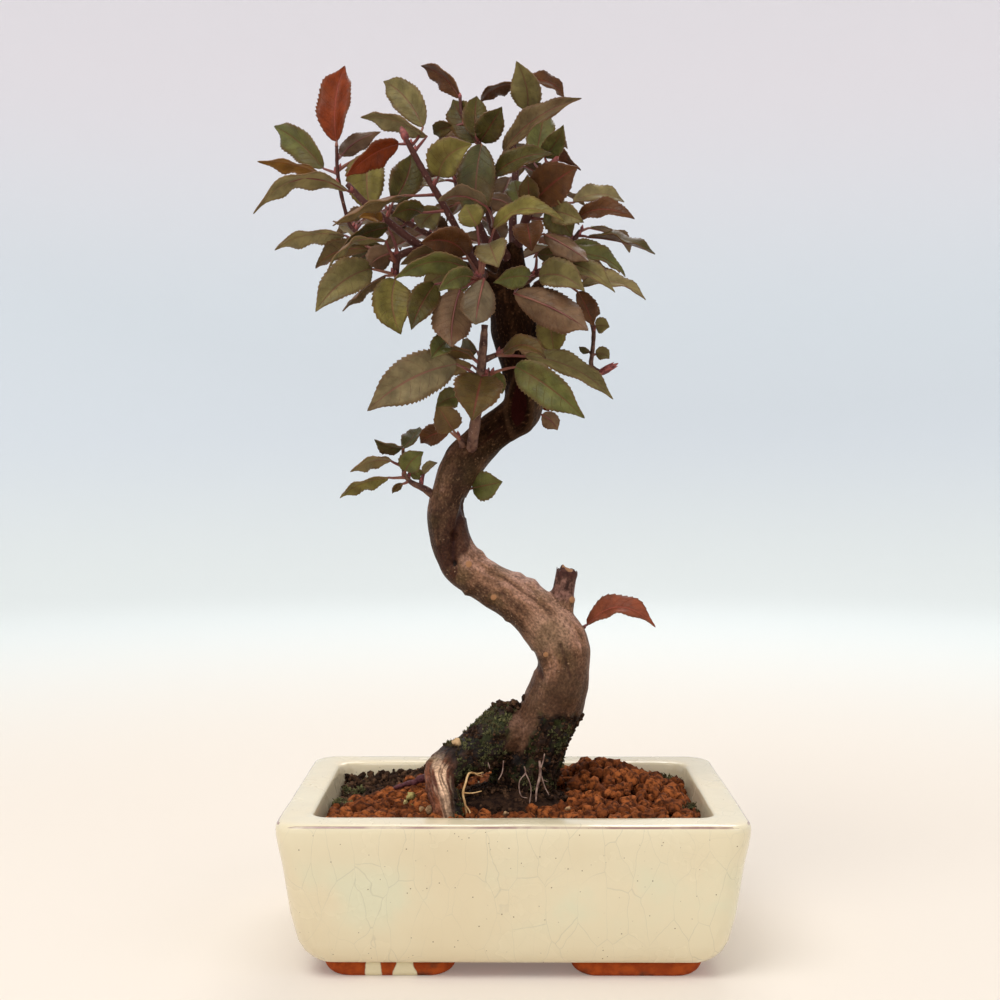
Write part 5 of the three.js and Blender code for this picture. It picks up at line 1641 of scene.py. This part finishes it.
# %% The leaf's finish
leaf_skin = Finish("apple_leaf")
along, side, _ = leaf_skin.attribute("place", "Vector").split()
out = abs(side)
vein_run = (along - out.math("POWER", 1.25) * 0.17) * 9.0 + side.math("GREATER_THAN") * 0.45
side_vein = abs(vein_run.math("FRACT") - 0.5).fit(0, 0.07, 1, 0) * out.fit(0.75, 1, 1, 0.2)
midrib = out.fit(0.02, 0.07, 1, 0)
net_vein = leaf_skin.cells(1.5, "DISTANCE_TO_EDGE").fit(0, 0.12, 1, 0)
mottle = leaf_skin.speckle(5, detail=6).fit(0.3, 0.7, 0.74, 1.26)
rib_tone = leaf_skin.attribute("rib_tone", "Color")
leaf_skin.set(Base_Color=leaf_skin.attribute("tone", "Color").scaled(mottle).under(
    ((0.095, 0.035, 0.012), leaf_skin.speckle(16).fit(0.5, 0.7) * 0.35),
    (rib_tone, (midrib * 0.8).math("MAXIMUM", side_vein * 0.2)), (rib_tone, net_vein * 0.08),
    ((0.11, 0.04, 0.018), out.fit(0.72, 0.93) * 0.35),
    ((0.24, 0.125, 0.055), out.fit(0.95, 0.99) * 0.35)))
leaf_skin.set(Roughness=leaf_skin.speckle(5).fit(0.3, 0.7, 0.38, 0.55), Specular_IOR_Level=0.16)
quilt = leaf_skin.bump(1.0 - midrib.math("MAXIMUM", side_vein), 0.12)
leaf_skin.set(Normal=leaf_skin.bump(1.0 - net_vein, 0.05, quilt))
print("nodes of the leaf:", len(leaf_skin.tree.nodes))

# %% Stalk, twig and bud
stalk_skin = two_tone("leaf_stalk", (0.15, 0.030, 0.024), (0.24, 0.085, 0.045), spots=12,
                      edges=(0.4, 0.65), roughness=0.5, grain=1.0, relief=0.08)
bud_skin = two_tone("red_bud", (0.12, 0.02, 0.02), (0.33, 0.075, 0.06), spots=1.6,
                    edges=(0.35, 0.65), roughness=0.5, grain=0.8, relief=0.15, detail=4)
twig = Finish("twig_bark")
twig_tone = twig.mix((0.055, 0.022, 0.016), (0.17, 0.085, 0.055),
                     twig.speckle(3, detail=6).fit(0.35, 0.65))
twig.set(Base_Color=twig_tone.under(
    ((0.060, 0.014, 0.010), twig.z.fit(0.262, 0.285, 0, 0.85)),
    ((0.33, 0.20, 0.14), twig.cells(1.8).fit(0.12, 0.2, 1, 0) * 0.55)), Specular_IOR_Level=0.2)
twig.set(Roughness=twig.speckle(4).fit(0.3, 0.7, 0.45, 0.7))
twig.set(Normal=twig.bump(twig.speckle(0.9, detail=5), 0.2))
print("nodes of the twig:", len(twig.tree.nodes))


# %% Build every shoot
def build_shoot(name, stems, leaves, buds, seed):
    bm = bmesh.new()
    bm.verts.layers.float_vector.new("place")
    for layer in ("tone", "rib_tone"):
        bm.verts.layers.float_color.new(layer)
    stem_lines = []
    for rows in stems:
        samples = smooth_line(rows, 2.0)
        stem_lines.append([place for place, radius in samples])
        knobbly = [(place, radius * (1 + 0.16 * (draw(index, seed) - 0.4)))
                   for index, (place, radius) in enumerate(samples)]
        add_tube(bm, knobbly, 9, TWIG)
    for index, leaf in enumerate(leaves):
        gap = (nearest_on(stem_lines, leaf.base) - leaf.base).length
        start = nearest_on(stem_lines, leaf.base - Vector((0, 0, 0.5 * gap)))
        add_stalk(bm, leaf, start)
        add_blade(bm, leaf, seed * 7.7 + index)
        way = (leaf.base - start).normalized()
        if gap > 0.003:
            foot = start + way * 0.0008
            add_bud(bm, foot, foot + way * 0.001 + Vector((0, 0, 0.0024)), 0.0008)
    for base, tip in buds:
        axis = tip - base
        add_bud(bm, base - axis * 0.1, tip, 0.0017)
        side = axis.orthogonal().normalized() * 0.0012
        for turn in range(5):
            lean_out = Matrix.Rotation(turn * 2.4, 3, axis) @ side
            add_bud(bm, base + lean_out * 0.4, base + axis * (0.6 + 0.08 * turn) + lean_out, 0.0009)
    settle(to_object("dressed_" + name, bm, leaf_skin, stalk_skin, twig, bud_skin), "leaf", name)


for seed, (name, (stems, leaves, buds)) in enumerate(shoots.items()):
    build_shoot(name, stems, leaves, buds, seed + 1)
for name, row in BACK_SHOOTS.items():
    build_shoot("shoot_back_" + name, curves(row[-1]), back_leaves(*row), [], row[3])

# %% [markdown]
# ## The size of the dressed tree
#
# The box of the solids and the box of the dressed tree are printed one above the other. The
# dressed tree has to stay inside the box of its solids.

# %% The two boxes
visual_box = [list(corner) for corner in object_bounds()]
for label, box in (("cad", cad_box), ("visual", visual_box)):
    print(label, [[round(1000 * value, 2) for value in corner] for corner in box])
